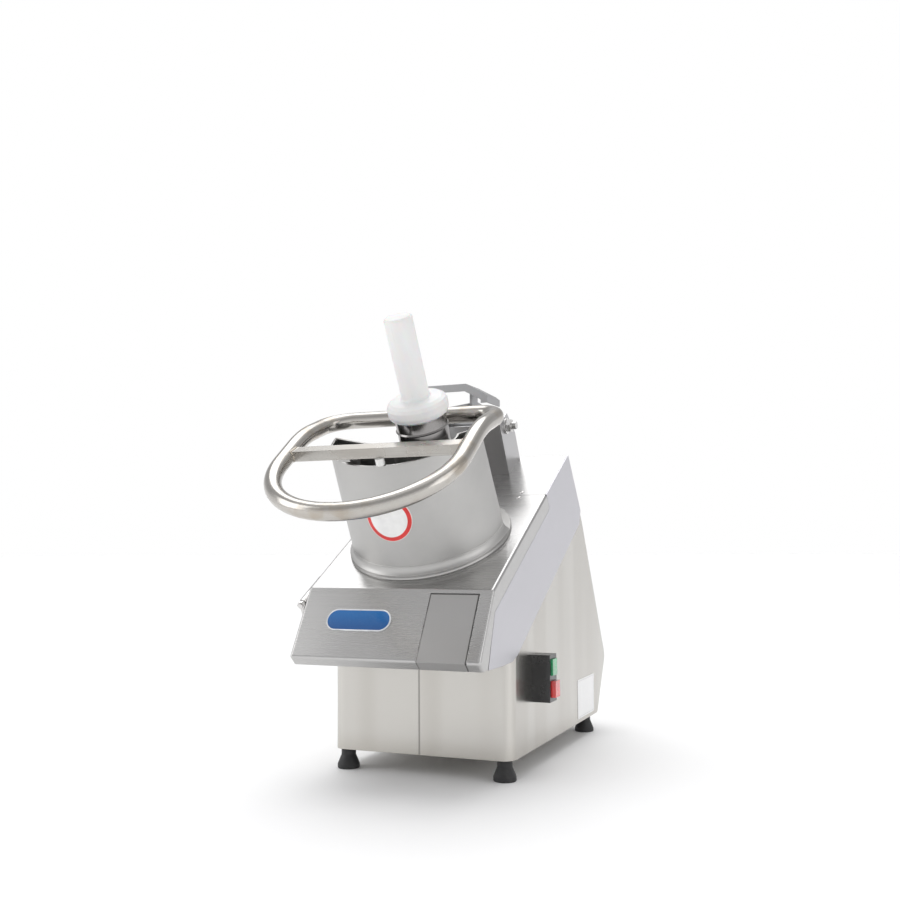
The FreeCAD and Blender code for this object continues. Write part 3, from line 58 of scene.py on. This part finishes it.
class Look:
    """A Principled material and the short calls that add its procedural nodes."""

    def __init__(self, name, color, rough, **values):
        self.mat = bpy.data.materials.new(name)
        self.mat.use_nodes = True
        self.tree = self.mat.node_tree
        self.shader = self.tree.nodes["Principled BSDF"]
        self.put("Base Color", (*color, 1))
        self.put("Roughness", rough)
        for socket, value in values.items():
            self.put(socket.replace("_", " "), value)
        self.object = self.add("ShaderNodeTexCoord").outputs["Object"]
        self.space = self.object
        self.normal = None

    def put(self, socket, value):
        """A uniform value goes straight on the shader's socket, a node output is linked to it."""
        if isinstance(value, bpy.types.NodeSocket):
            self.tree.links.new(value, self.shader.inputs[socket])
        else:
            self.shader.inputs[socket].default_value = value

    def add(self, kind, inputs=(), **props):
        """A new node with its properties set, and each input set or linked."""
        node = self.tree.nodes.new(kind)
        for prop, value in props.items():
            setattr(node, prop, value)
        for socket, value in dict(inputs).items():
            if isinstance(value, bpy.types.NodeSocket):
                self.tree.links.new(value, node.inputs[socket])
            else:
                node.inputs[socket].default_value = value
        return node

    def tilt(self, angle):
        """Turns the working coordinates about X, so that Y runs up a sloping panel."""
        turn = self.add("ShaderNodeMapping", {"Vector": self.object, "Rotation": (-angle, 0, 0)})
        self.space = turn.outputs[0]

    def axes(self, space=None):
        """The working coordinates, or the space given, as three numbers called X, Y and Z."""
        return self.add("ShaderNodeSeparateXYZ", {"Vector": space or self.space}).outputs

    def noise(self, scale, detail=3.0, rough=0.55):
        """Noise with its own scale per axis, in repeats a metre."""
        spread = self.add("ShaderNodeMapping", {"Vector": self.space, "Scale": scale})
        grain = self.add("ShaderNodeTexNoise", {"Vector": spread.outputs[0], "Scale": 1.0,
                                                "Detail": detail, "Roughness": rough})
        return grain.outputs["Fac"]

    def ramp(self, value, low, high, start=0.0, end=1.0):
        """value from low..high onto start..end, eased at both ends and clamped."""
        node = self.add("ShaderNodeMapRange", {"Value": value, "From Min": low, "From Max": high,
                                               "To Min": start, "To Max": end})
        node.interpolation_type = "SMOOTHSTEP"
        return node.outputs["Result"]

    def math(self, operation, first, second=0.0):
        return self.add("ShaderNodeMath", {0: first, 1: second}, operation=operation).outputs[0]

    def times(self, first, *factors):
        """Product of masks and numbers."""
        for factor in factors:
            first = self.math("MULTIPLY", first, factor)
        return first

    def away(self, value, centre):
        """Distance of value from centre."""
        return self.math("ABSOLUTE", self.math("SUBTRACT", value, centre))

    def band(self, value, centre, half, soft):
        """1 within half of centre, falling to 0 over soft."""
        return self.ramp(self.away(value, centre), half + soft, half)

    def mix(self, amount, first, second):
        """Blend of two colours by amount."""
        node = self.add("ShaderNodeMix", data_type="RGBA")
        for index, value in ((0, amount), (6, first), (7, second)):
            if isinstance(value, bpy.types.NodeSocket):
                self.tree.links.new(value, node.inputs[index])
            else:
                node.inputs[index].default_value = (*value, 1) if index else value
        return node.outputs[2]

    def stain(self, mask, strength, color):
        """Blends a colour over the linked base colour, by the mask times the strength."""
        under = self.shader.inputs["Base Color"].links[0].from_socket
        self.put("Base Color", self.mix(self.times(mask, strength), under, color))

    def bump(self, height, depth, strength=1.0):
        """Adds relief of the given depth in metres over what is there already."""
        inputs = {"Height": height, "Distance": depth, "Strength": strength}
        if self.normal:
            inputs["Normal"] = self.normal
        self.normal = self.add("ShaderNodeBump", inputs).outputs[0]
        self.put("Normal", self.normal)

    def soft_edges(self, radius):
        """Shades sharp edges as if broken by that radius."""
        self.normal = self.add("ShaderNodeBevel", {"Radius": radius}, samples=BEVEL_SAMPLES).outputs[0]
        self.put("Normal", self.normal)

    def edge_mask(self, radius):
        """1 on sharp edges, 0 on flats."""
        bevel = self.add("ShaderNodeBevel", {"Radius": radius}, samples=BEVEL_SAMPLES).outputs[0]
        flat = self.add("ShaderNodeNewGeometry").outputs["Normal"]
        dot = self.add("ShaderNodeVectorMath", {0: bevel, 1: flat}, operation="DOT_PRODUCT").outputs["Value"]
        return self.ramp(dot, 0.995, 0.85)


def scaled(color, share):
    """The colour times share, kept below white."""
    return tuple(min(1.0, c * share) for c in color)


# Finishes

def brushed(name, color, rough, grain, tilt=0.0, contrast=0.025):
    """Brushed sheet steel. grain is the noise scale per axis, slow along the brushing."""
    streak_share = 0.45
    look = Look(name, color, rough, Metallic=1.0)
    look.tilt(tilt)
    look.soft_edges(0.7 * MM)
    streaks = look.noise(grain, 4.0, 0.65)
    cloud = look.noise((7, 7, 7), 2.0)
    shade = look.math("ADD", look.times(streaks, streak_share), look.times(cloud, 1 - streak_share))
    dark, light = scaled(color, 1 - contrast), scaled(color, 1 + contrast)
    look.put("Base Color", look.mix(look.ramp(shade, 0.35, 0.65), dark, light))
    look.put("Roughness", look.ramp(shade, 0.3, 0.7, rough - 0.03, rough + 0.035))
    sheet_waves = look.noise((5, 5, 2.5), 1.0)
    look.bump(sheet_waves, 1.0 * MM, 0.5)
    look.bump(streaks, 0.006 * MM, 0.1)
    return look


def base_steel():
    """Wrapped sheet of the base: painted reflection bands, painted shade near the folds and towards the bottom,
    scuffs under the lip and a welded seam.
    """
    low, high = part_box("base_shell")
    middle = (low.x + high.x) / 2
    half_width = (high.x - low.x) / 2
    lip_z = low.z + 118 * MM
    bottom_shade_top = low.z + 26 * MM
    look = brushed("brushed_base_steel", (0.55, 0.535, 0.505), 0.24, BRUSHED_UPRIGHT, contrast=0.03)
    x, y, z = look.axes()
    front = look.ramp(y, low.y + 2 * MM, low.y + 1 * MM)

    # Painted reflection: soft upright bands of darker colour across the sheet
    reflection_bands = look.ramp(look.noise((17, 17, 0.8), 1.0), 0.42, 0.62)
    look.stain(reflection_bands, 0.3, (0.4, 0.375, 0.34))

    # Painted shade: the front darkens towards its left and right folds
    fold_shade = look.ramp(look.away(x, middle), half_width - 13 * MM, half_width - 3 * MM)
    look.stain(look.times(fold_shade, front), 0.3, (0.36, 0.335, 0.3))

    # Painted shade: the sheet darkens over its lowest 26 mm towards the floor
    look.stain(look.ramp(z, bottom_shade_top, low.z), 0.3, (0.38, 0.35, 0.3))

    scuffs = look.ramp(look.noise((260, 260, 60), 5.0, 0.7), 0.63, 0.72)
    under_lip = look.ramp(z, lip_z - 13 * MM, lip_z)
    at_left = look.ramp(x, low.x + 60 * MM, low.x + 10 * MM)
    look.stain(look.times(scuffs, under_lip, at_left), 0.5, (0.3, 0.28, 0.25))

    seam = look.times(look.band(x, middle, 0.3 * MM, 1.4 * MM), front)
    look.stain(seam, 0.75, (0.16, 0.15, 0.14))
    look.bump(seam, -0.5 * MM)
    return look.mat


def panel_steel():
    """Latch panel, with painted shade in the gap along its right and upper edges and a little at the left."""
    low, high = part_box("latch_panel")
    look = brushed("brushed_panel_steel", (0.47, 0.465, 0.46), 0.34, BRUSHED_UPRIGHT, HEAD_SLOPE)
    place = look.axes(look.object)
    right = look.ramp(place["X"], high.x - 1.1 * MM, high.x - 0.5 * MM)
    top = look.ramp(place["Z"], high.z - 1.1 * MM, high.z - 0.5 * MM)
    left = look.ramp(place["X"], low.x + 0.9 * MM, low.x + 0.4 * MM)
    # Painted shade in the gap round the panel: dark along the right and upper edges, half as dark at the left
    gap_shade = look.math("MAXIMUM", look.math("MAXIMUM", right, top), look.times(left, 0.5))
    look.stain(gap_shade, 0.75, (0.06, 0.058, 0.055))
    return look.mat


def blasted(name, color, rough, grit=2200):
    """Blasted or cast alloy: fine even grit with faint clouds and brighter edges, partly rubbed wear and partly
    painted highlight.
    """
    look = Look(name, color, rough, Metallic=1.0)
    look.soft_edges(0.6 * MM)
    cloud = look.noise((12, 12, 12), 5.0, 0.62)
    look.put("Base Color", look.mix(look.ramp(cloud, 0.3, 0.7), scaled(color, 0.95), scaled(color, 1.05)))
    # Brighter colour on sharp edges: partly rubbed wear, partly a painted highlight
    look.stain(look.edge_mask(0.8 * MM), 0.6, scaled(color, 1.3))
    look.put("Roughness", look.ramp(cloud, 0.3, 0.7, rough - 0.03, rough + 0.04))
    look.bump(look.noise((grit, grit, grit), 2.0), 0.03 * MM, 0.3)
    look.bump(cloud, 0.04 * MM, 0.2)
    return look.mat


def polished(name, color, rough, tint=0.0):
    """Polished bar, tube or fastener with faint polishing lines. tint browns it in slow patches."""
    look = Look(name, color, rough, Metallic=1.0)
    look.soft_edges(0.4 * MM)
    lines = look.noise((12, 1500, 1500), 3.0)
    patches = look.noise((26, 26, 26), 3.0)
    look.put("Base Color", look.mix(look.ramp(lines, 0.35, 0.65), scaled(color, 0.94), color))
    if tint:
        brown = tuple(c * share for c, share in zip(color, (0.72, 0.62, 0.5)))
        look.stain(look.ramp(patches, 0.5, 0.68), tint, brown)
    look.put("Roughness", look.ramp(patches, 0.3, 0.7, rough * 0.75, rough * 1.35))
    look.bump(look.noise((16, 16, 16), 1.0), 0.12 * MM, 0.3)
    look.bump(lines, 0.004 * MM, 0.15)
    return look.mat


def plastic(name, color, rough, **values):
    """Moulded plastic with a fine skin and a slightly uneven gloss."""
    look = Look(name, color, rough, **values)
    look.soft_edges(0.5 * MM)
    skin = look.noise((900, 900, 900), 3.0)
    cloud = look.noise((40, 40, 40), 3.0)
    light = tuple(min(1.0, c * 1.15 + 0.004) for c in color)
    look.put("Base Color", look.mix(look.ramp(cloud, 0.35, 0.65), scaled(color, 0.88), light))
    look.put("Roughness", look.ramp(cloud, 0.3, 0.7, rough * 0.85, rough * 1.2))
    look.bump(skin, 0.012 * MM, 0.35)
    return look.mat


def polyethylene():
    """White turned polyethylene: milky, with faint turning lines and handling scratches."""
    look = Look("white_polyethylene", (0.93, 0.93, 0.92), 0.38, Subsurface_Weight=0.25, Subsurface_Scale=0.006)
    look.tilt(HEAD_SLOPE)
    look.soft_edges(0.8 * MM)
    turning = look.noise((6, 6, 900), 2.0)
    scratch = look.ramp(look.noise((500, 500, 18), 4.0, 0.7), 0.62, 0.7)
    cloud = look.noise((30, 30, 12), 3.0)
    look.put("Base Color", look.mix(look.ramp(cloud, 0.35, 0.7), (0.8, 0.8, 0.795), (0.74, 0.74, 0.735)))
    look.stain(scratch, 0.25, (0.62, 0.62, 0.6))
    look.put("Roughness", look.ramp(cloud, 0.3, 0.7, 0.32, 0.46))
    look.bump(turning, 0.05 * MM, 0.3)
    look.bump(scratch, -0.06 * MM, 0.4)
    return look.mat


def rubber(name, color=(0.018, 0.018, 0.019)):
    """Dark rubber with a dusting of lighter grey."""
    look = Look(name, color, 0.55)
    look.soft_edges(0.6 * MM)
    cloud = look.noise((70, 70, 70), 5.0, 0.65)
    dust = look.ramp(cloud, 0.48, 0.75, 0.0, 0.5)
    look.put("Base Color", look.mix(dust, color, (0.07, 0.068, 0.065)))
    look.put("Roughness", look.ramp(cloud, 0.3, 0.7, 0.46, 0.68))
    look.bump(look.noise((1500, 1500, 1500), 2.0), 0.05 * MM, 0.4)
    return look.mat


def blue_enamel():
    """Blue enamel, a little deeper towards the bottom."""
    low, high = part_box("badge")
    look = Look("blue_enamel", (0.01, 0.09, 0.42), 0.22, Coat_Weight=0.6, Coat_Roughness=0.08)
    height = look.ramp(look.axes()["Z"], low.z, high.z)
    speck = look.noise((1200, 1200, 1200), 2.0)
    look.put("Base Color", look.mix(height, (0.001, 0.075, 0.27), (0.002, 0.13, 0.4)))
    look.stain(look.ramp(speck, 0.5, 0.8), 0.15, (0.02, 0.2, 0.5))
    look.put("Roughness", look.ramp(speck, 0.3, 0.7, 0.18, 0.28))
    look.bump(speck, 0.01 * MM, 0.3)
    return look.mat


def ringed_disc():
    """White vinyl disc with a plain red ring."""
    low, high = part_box("guard_mark")
    radius = (high.x - low.x) / 2
    centre = Matrix.Rotation(-HEAD_SLOPE, 3, "X") @ ((low + high) / 2)
    look = Look("ringed_vinyl", (0.86, 0.86, 0.85), 0.35, Coat_Weight=0.3, Coat_Roughness=0.2)
    look.tilt(HEAD_SLOPE)
    place = look.axes()
    flat = look.add("ShaderNodeCombineXYZ", {"X": look.math("SUBTRACT", place["X"], centre.x),
                                             "Z": look.math("SUBTRACT", place["Z"], centre.z)}).outputs[0]
    away = look.add("ShaderNodeVectorMath", {0: flat}, operation="LENGTH").outputs["Value"]
    ring = look.band(away, radius * 0.9, radius * 0.08, 0.3 * MM)
    cloud = look.noise((60, 60, 60), 3.0)
    shade = look.ramp(cloud, 0.35, 0.7)
    paper = look.mix(shade, (0.88, 0.88, 0.87), (0.8, 0.8, 0.79))
    red = look.mix(shade, (0.72, 0.02, 0.015), (0.6, 0.015, 0.012))
    look.put("Base Color", look.mix(ring, paper, red))
    look.put("Roughness", look.ramp(cloud, 0.3, 0.7, 0.28, 0.42))
    look.bump(cloud, 0.05 * MM, 0.3)
    return look.mat


def blank_label():
    """Blank white foil plate with a fine grey border."""
    low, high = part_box("data_plate")
    middle = (low + high) / 2
    half = (high - low) / 2
    border_out, border_in, soft = 1.8 * MM, 2.4 * MM, 0.15 * MM
    look = Look("blank_label", (0.85, 0.85, 0.85), 0.4)
    place = look.axes()

    def inside(inset):
        """1 within the plate's outline moved in by inset."""
        side = look.band(place["Y"], middle.y, half.y - inset, soft)
        rise = look.band(place["Z"], middle.z, half.z - inset, soft)
        return look.times(side, rise)

    line = look.math("SUBTRACT", inside(border_out), inside(border_in))
    fibre = look.noise((700, 700, 700), 3.0)
    look.put("Base Color", look.mix(look.ramp(fibre, 0.3, 0.7), (0.82, 0.82, 0.82), (0.9, 0.9, 0.9)))
    look.stain(line, 0.6, (0.35, 0.35, 0.36))
    look.put("Roughness", look.ramp(fibre, 0.3, 0.7, 0.32, 0.48))
    look.bump(fibre, 0.02 * MM, 0.3)
    return look.mat


def node_finishes():
    """Each finish with the names of the CAD nodes that wear it."""
    skirt = brushed("brushed_skirt_steel", (0.545, 0.54, 0.57), 0.33, BRUSHED_ALONG, HEAD_SLOPE)
    lid = brushed("brushed_lid_steel", (0.5, 0.495, 0.49), 0.27, BRUSHED_ACROSS, HEAD_SLOPE)
    bracket = brushed("brushed_bracket_steel", (0.5, 0.495, 0.5), 0.3, BRUSHED_UPRIGHT)
    glossy = {"Coat_Weight": 0.8, "Coat_Roughness": 0.06}
    return [
        (base_steel(), "base_shell bottom_plate"),
        (skirt.mat, "head_frame latch_catch"),
        (lid.mat, "lid_shell lid_rear_plate lid_joint_strap"),
        (panel_steel(), "latch_panel"),
        (bracket.mat, "lever_bracket motor_mount"),
        (blasted("blasted_hopper_alloy", (0.46, 0.455, 0.445), 0.4), "hopper press_plate press_rod"),
        (blasted("cast_cover_alloy", (0.4, 0.4, 0.405), 0.42, 1500), "hinge_cover lever_hub"),
        (blasted("cast_inner_alloy", (0.58, 0.57, 0.56), 0.45, 1300),
         "cutting_chamber bearing_housing discharge_chute ejector_disc slicing_disc disc_cap driven_pulley "
         "motor_pulley"),
        (polished("polished_ring_tube", (0.5, 0.48, 0.45), 0.2, 0.5), "ring_handle"),
        (polished("polished_bar", (0.44, 0.425, 0.4), 0.22, 0.15), "crossbar"),
        (polished("dark_tube_steel", (0.3, 0.29, 0.285), 0.2), "feed_tube"),
        (polished("bright_fasteners", (0.66, 0.65, 0.64), 0.22),
         "frame_knuckles lid_knuckles hinge_pins hinge_nuts pivot_bolt pivot_nuts latch_pin lid_rivets "
         "foot_studs"),
        (polished("spring_wire", (0.45, 0.44, 0.43), 0.3, 0.3), "latch_spring lever_spring"),
        (polished("ground_blades", (0.72, 0.72, 0.73), 0.14),
         "disc_blade dicing_grid drive_shaft motor_shaft bearings"),
        (polyethylene(), "pestle"),
        (plastic("white_nylon", (0.86, 0.86, 0.84), 0.36), "lever_bumper"),
        (plastic("black_switch_plastic", (0.012, 0.012, 0.013), 0.26, Coat_Weight=0.2), "switch_housing"),
        (plastic("dark_moulding", (0.03, 0.03, 0.032), 0.45), "cable_gland control_box fan_cowl motor_fan"),
        (plastic("green_key_plastic", (0.02, 0.32, 0.12), 0.22, **glossy), "green_button"),
        (plastic("red_key_plastic", (0.62, 0.02, 0.02), 0.22, **glossy), "red_button"),
        (plastic("motor_grey_paint", (0.16, 0.18, 0.2), 0.42), "motor_body run_capacitor"),
        (rubber("black_rubber_feet"), "rubber_feet"),
        (rubber("belt_rubber", (0.025, 0.025, 0.026)), "drive_belt shaft_seal"),
        (polished("badge_back", (0.6, 0.6, 0.6), 0.3), "badge"),
        (ringed_disc(), "guard_mark"),
        (blank_label(), "data_plate"),
    ]


def dress_nodes():
    """Gives every CAD node its finish."""
    dressed = set()
    for material, names in node_finishes():
        for name in names.split():
            mesh = NODES[name].data
            mesh.materials.clear()
            mesh.materials.append(material)
            dressed.add(name)
    undressed = sorted(set(NODES) - dressed)
    if undressed:
        raise ValueError("nodes without a finish: %s" % undressed)


# Added detail

def placed(name, data):
    """A new object in the scene."""
    thing = bpy.data.objects.new(name, data)
    bpy.context.scene.collection.objects.link(thing)
    return thing


def mesh_from(form, name):
    """The finished bmesh as a mesh."""
    mesh = bpy.data.meshes.new(name)
    form.to_mesh(mesh)
    form.free()
    return mesh


def new_piece(name, mesh, body, material):
    """Links a finished mesh as a smooth piece that rides on a body."""
    piece = placed(name, mesh)
    mesh.materials.append(material)
    for face in mesh.polygons:
        face.use_smooth = True
    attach(piece, body)
    return piece


def bead(name, path, radius, ripple, pitch):
    """Weld bead round a closed path: a capped tube whose radius swells once every pitch and varies a little."""
    sides = 10
    unevenness_scale = 900
    full_turn = 2 * math.pi
    form = bmesh.new()
    rings = []
    travelled = 0.0
    for index, point in enumerate(path):
        after = path[(index + 1) % len(path)]
        along = (after - path[index - 1]).normalized()
        across = (across - along * across.dot(along)).normalized() if rings else along.orthogonal().normalized()
        other = along.cross(across)
        swell = radius * (1 + ripple * math.sin(full_turn * travelled / pitch)
                          + ripple * noise.noise(point * unevenness_scale))
        ring = []
        for side in range(sides):
            angle = full_turn * side / sides
            ring.append(form.verts.new(point + (across * math.cos(angle) + other * math.sin(angle)) * swell))
        rings.append(ring)
        travelled += (after - point).length
    for ring, following in zip(rings, rings[1:]):
        for side in range(sides):
            beside = (side + 1) % sides
            form.faces.new((ring[side], ring[beside], following[beside], following[side]))
    for ring in (rings[0], rings[-1]):
        form.faces.new(ring)
    bmesh.ops.recalc_face_normals(form, faces=form.faces)
    return mesh_from(form, name)


def resampled(points, step):
    """The closed path with points about a step apart."""
    path = []
    for start, end in zip(points, points[1:] + points[:1]):
        count = max(1, round((end - start).length / step))
        path += [start.lerp(end, k / count) for k in range(count)]
    return path


def end_outline(points):
    """The outermost point of a crossbar end in each sector round its middle, in order."""
    sector_angle = math.radians(12)
    centre = sum(points, Vector()) / len(points)
    outline = {}
    for point in points:
        offset = point - centre
        sector = round(math.atan2(offset.z, offset.y) / sector_angle)
        if sector not in outline or offset.yz.length > (outline[sector] - centre).yz.length:
            outline[sector] = point
    return [outline[sector] for sector in sorted(outline)]


def crossbar_welds():
    """Weld beads where the crossbar's ends meet the ring."""
    material = polished("weld_metal", (0.52, 0.47, 0.4), 0.34, 0.7)
    end_reach = 60 * MM
    low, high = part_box("crossbar")
    middle = (low.x + high.x) / 2
    for side, name in ((-1, "weld_bead_left"), (1, "weld_bead_right")):
        ends = [v.co.copy() for v in NODES["crossbar"].data.vertices if side * (v.co.x - middle) > end_reach]
        path = resampled(end_outline(ends), 0.8 * MM)
        mesh = bead(name, path, radius=0.9 * MM, ripple=0.16, pitch=2.4 * MM)
        new_piece(name, mesh, "lever", material)


def stadium(centre, across, up, reach, radius):
    """Closed outline of a pill: two half circles whose centres lie reach each side of the centre."""
    steps = 24
    points = []
    for side in (1, -1):
        for step in range(steps + 1):
            angle = math.pi * (step / steps - 0.5)
            points.append(centre + across * side * (reach + radius * math.cos(angle))
                          + up * side * radius * math.sin(angle))
    return points


def pill_badge():
    """Plain pill-shaped badge with a raised light rim, in place of the CAD blank."""
    thick = 1.2 * MM
    radius = 13.2 * MM
    # Inset from the edge and height above the back, in mm: first the rim, then the shallow dome inside it
    rim = ((0, 0), (0, 0.8), (0.25, 1.15), (0.8, 1.2), (1.35, 1.12), (1.6, 0.85))
    dome = ((1.9, 0.85), (4.5, 0.95), (8.5, 1.02))
    enamel_index, rim_index = 0, 1

    low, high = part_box("badge")
    outward = [face for face in NODES["badge"].data.polygons if face.normal.y < 0]
    out = max(outward, key=lambda face: face.area).normal.copy()
    across = Vector((1, 0, 0))
    up = out.cross(across) if out.cross(across).z > 0 else across.cross(out)
    back = (low + high) / 2 - out * thick / 2
    reach = (high.x - low.x) / 2 - radius

    form = bmesh.new()
    loops = []
    for inset, height in rim + dome:
        outline = stadium(back + out * height * MM, across, up, reach, radius - inset * MM)
        loops.append([form.verts.new(point) for point in outline])
    for step, (outer, inner) in enumerate(zip(loops, loops[1:])):
        for k, vertex in enumerate(outer):
            after = (k + 1) % len(outer)
            face = form.faces.new((vertex, outer[after], inner[after], inner[k]))
            face.material_index = rim_index if step < len(rim) - 1 else enamel_index
    form.faces.new(loops[-1])
    form.faces.new(loops[0][::-1]).material_index = rim_index
    bmesh.ops.recalc_face_normals(form, faces=form.faces)
    mesh = mesh_from(form, "badge_plate")
    piece = new_piece("badge_plate", mesh, "lid", blue_enamel())
    mesh.materials.append(plastic("badge_rim_white", (0.72, 0.74, 0.76), 0.3, Coat_Weight=0.3))
    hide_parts("badge")


# Studio

def build_floor():
    """Plain pale floor, far larger than the view."""
    half_side = 30
    form = bmesh.new()
    bmesh.ops.create_grid(form, x_segments=2, y_segments=2, size=half_side)
    mesh = mesh_from(form, "floor")
    floor = placed("floor", mesh)
    look = Look("pale_floor", (0.95, 0.95, 0.95), 0.6)
    look.put("Base Color", look.mix(look.noise((3, 3, 3), 2.0), (0.945, 0.945, 0.945), (0.96, 0.96, 0.96)))
    mesh.materials.append(look.mat)


def build_world():
    """Soft studio surround: bright at the horizon, greyer above it and bright again overhead.

    The background behind the machine shows as plain white.
    """
    # Place from straight down (0) to straight up (1), and brightness there
    levels = ((0.0, 0.7), (0.5, 1.0), (0.57, 0.95), (0.66, 0.6),
              (0.78, 0.5), (0.88, 0.6), (0.94, 0.95), (1.0, 1.1))
    coolness = 1.01
    world = bpy.data.worlds.new("studio")
    bpy.context.scene.world = world
    world.use_nodes = True
    nodes, links = world.node_tree.nodes, world.node_tree.links
    nodes.clear()

    direction = nodes.new("ShaderNodeTexCoord")
    split = nodes.new("ShaderNodeSeparateXYZ")
    height = nodes.new("ShaderNodeMapRange")
    height.inputs["From Min"].default_value = -1
    ramp = nodes.new("ShaderNodeValToRGB")
    stops = ramp.color_ramp.elements
    while len(stops) < len(levels):
        stops.new(0.5)
    for stop, (position, value) in zip(stops, levels):
        stop.position = position
        stop.color = (value, value, value * coolness, 1)
    glow = nodes.new("ShaderNodeBackground")
    plain = nodes.new("ShaderNodeBackground")
    plain.inputs["Color"].default_value = (1, 1, 1, 1)
    path = nodes.new("ShaderNodeLightPath")
    choose = nodes.new("ShaderNodeMixShader")
    out = nodes.new("ShaderNodeOutputWorld")

    links.new(direction.outputs["Generated"], split.inputs[0])
    links.new(split.outputs["Z"], height.inputs["Value"])
    links.new(height.outputs[0], ramp.inputs[0])
    links.new(ramp.outputs[0], glow.inputs["Color"])
    links.new(path.outputs["Is Camera Ray"], choose.inputs[0])
    links.new(glow.outputs[0], choose.inputs[1])
    links.new(plain.outputs[0], choose.inputs[2])
    links.new(choose.outputs[0], out.inputs[0])


def softbox(name, place, size, power):
    """A rectangular area light aimed at the middle of the machine."""
    target = Vector((0, 0, 0.25))
    lamp = bpy.data.lights.new(name, "AREA")
    lamp.shape = "RECTANGLE"
    lamp.size, lamp.size_y = size
    lamp.energy = power
    holder = placed(name, lamp)
    holder.location = place
    holder.rotation_euler = (target - Vector(place)).to_track_quat("-Z", "Y").to_euler()


def build_lights():
    """A very soft sun whitens the whole floor evenly, and two softboxes model the metal."""
    sun = bpy.data.lights.new("soft_sun", "SUN")
    sun.energy = 1.2
    sun.angle = math.radians(52)
    placed("soft_sun", sun).rotation_euler = (math.radians(-16), math.radians(-10), 0)
    softbox("left_softbox", place=(-2.2, -1.2, 1.3), size=(1.2, 1.8), power=14)
    softbox("right_fill", place=(2.3, -0.6, 1.0), size=(1.4, 1.6), power=8)


def build_camera():
    """Camera to the front right, just above the switch and looking slightly up, with a small upward shift."""
    place = (0.4832, -1.1889, 0.2623)
    yaw, pitch, roll = math.radians(22.6), math.radians(2.86), math.radians(-0.32)
    forward = Vector((-math.sin(yaw) * math.cos(pitch), math.cos(yaw) * math.cos(pitch), math.sin(pitch)))
    level = forward.cross(Vector((0, 0, 1))).normalized()
    plumb = level.cross(forward)
    across = level * math.cos(roll) + plumb * math.sin(roll)
    upward = plumb * math.cos(roll) - level * math.sin(roll)
    data = bpy.data.cameras.new("camera")
    data.lens = 41.22
    data.sensor_width = 36
    data.shift_y = 0.05
    camera = placed("camera", data)
    turn = Matrix((across, upward, -forward)).transposed().to_4x4()
    camera.matrix_world = Matrix.Translation(place) @ turn
    bpy.context.scene.camera = camera


bpy.context.scene.view_settings.view_transform = "Standard"
build_camera()
build_world()
build_lights()
build_floor()
dress_nodes()
crossbar_welds()
pill_badge()
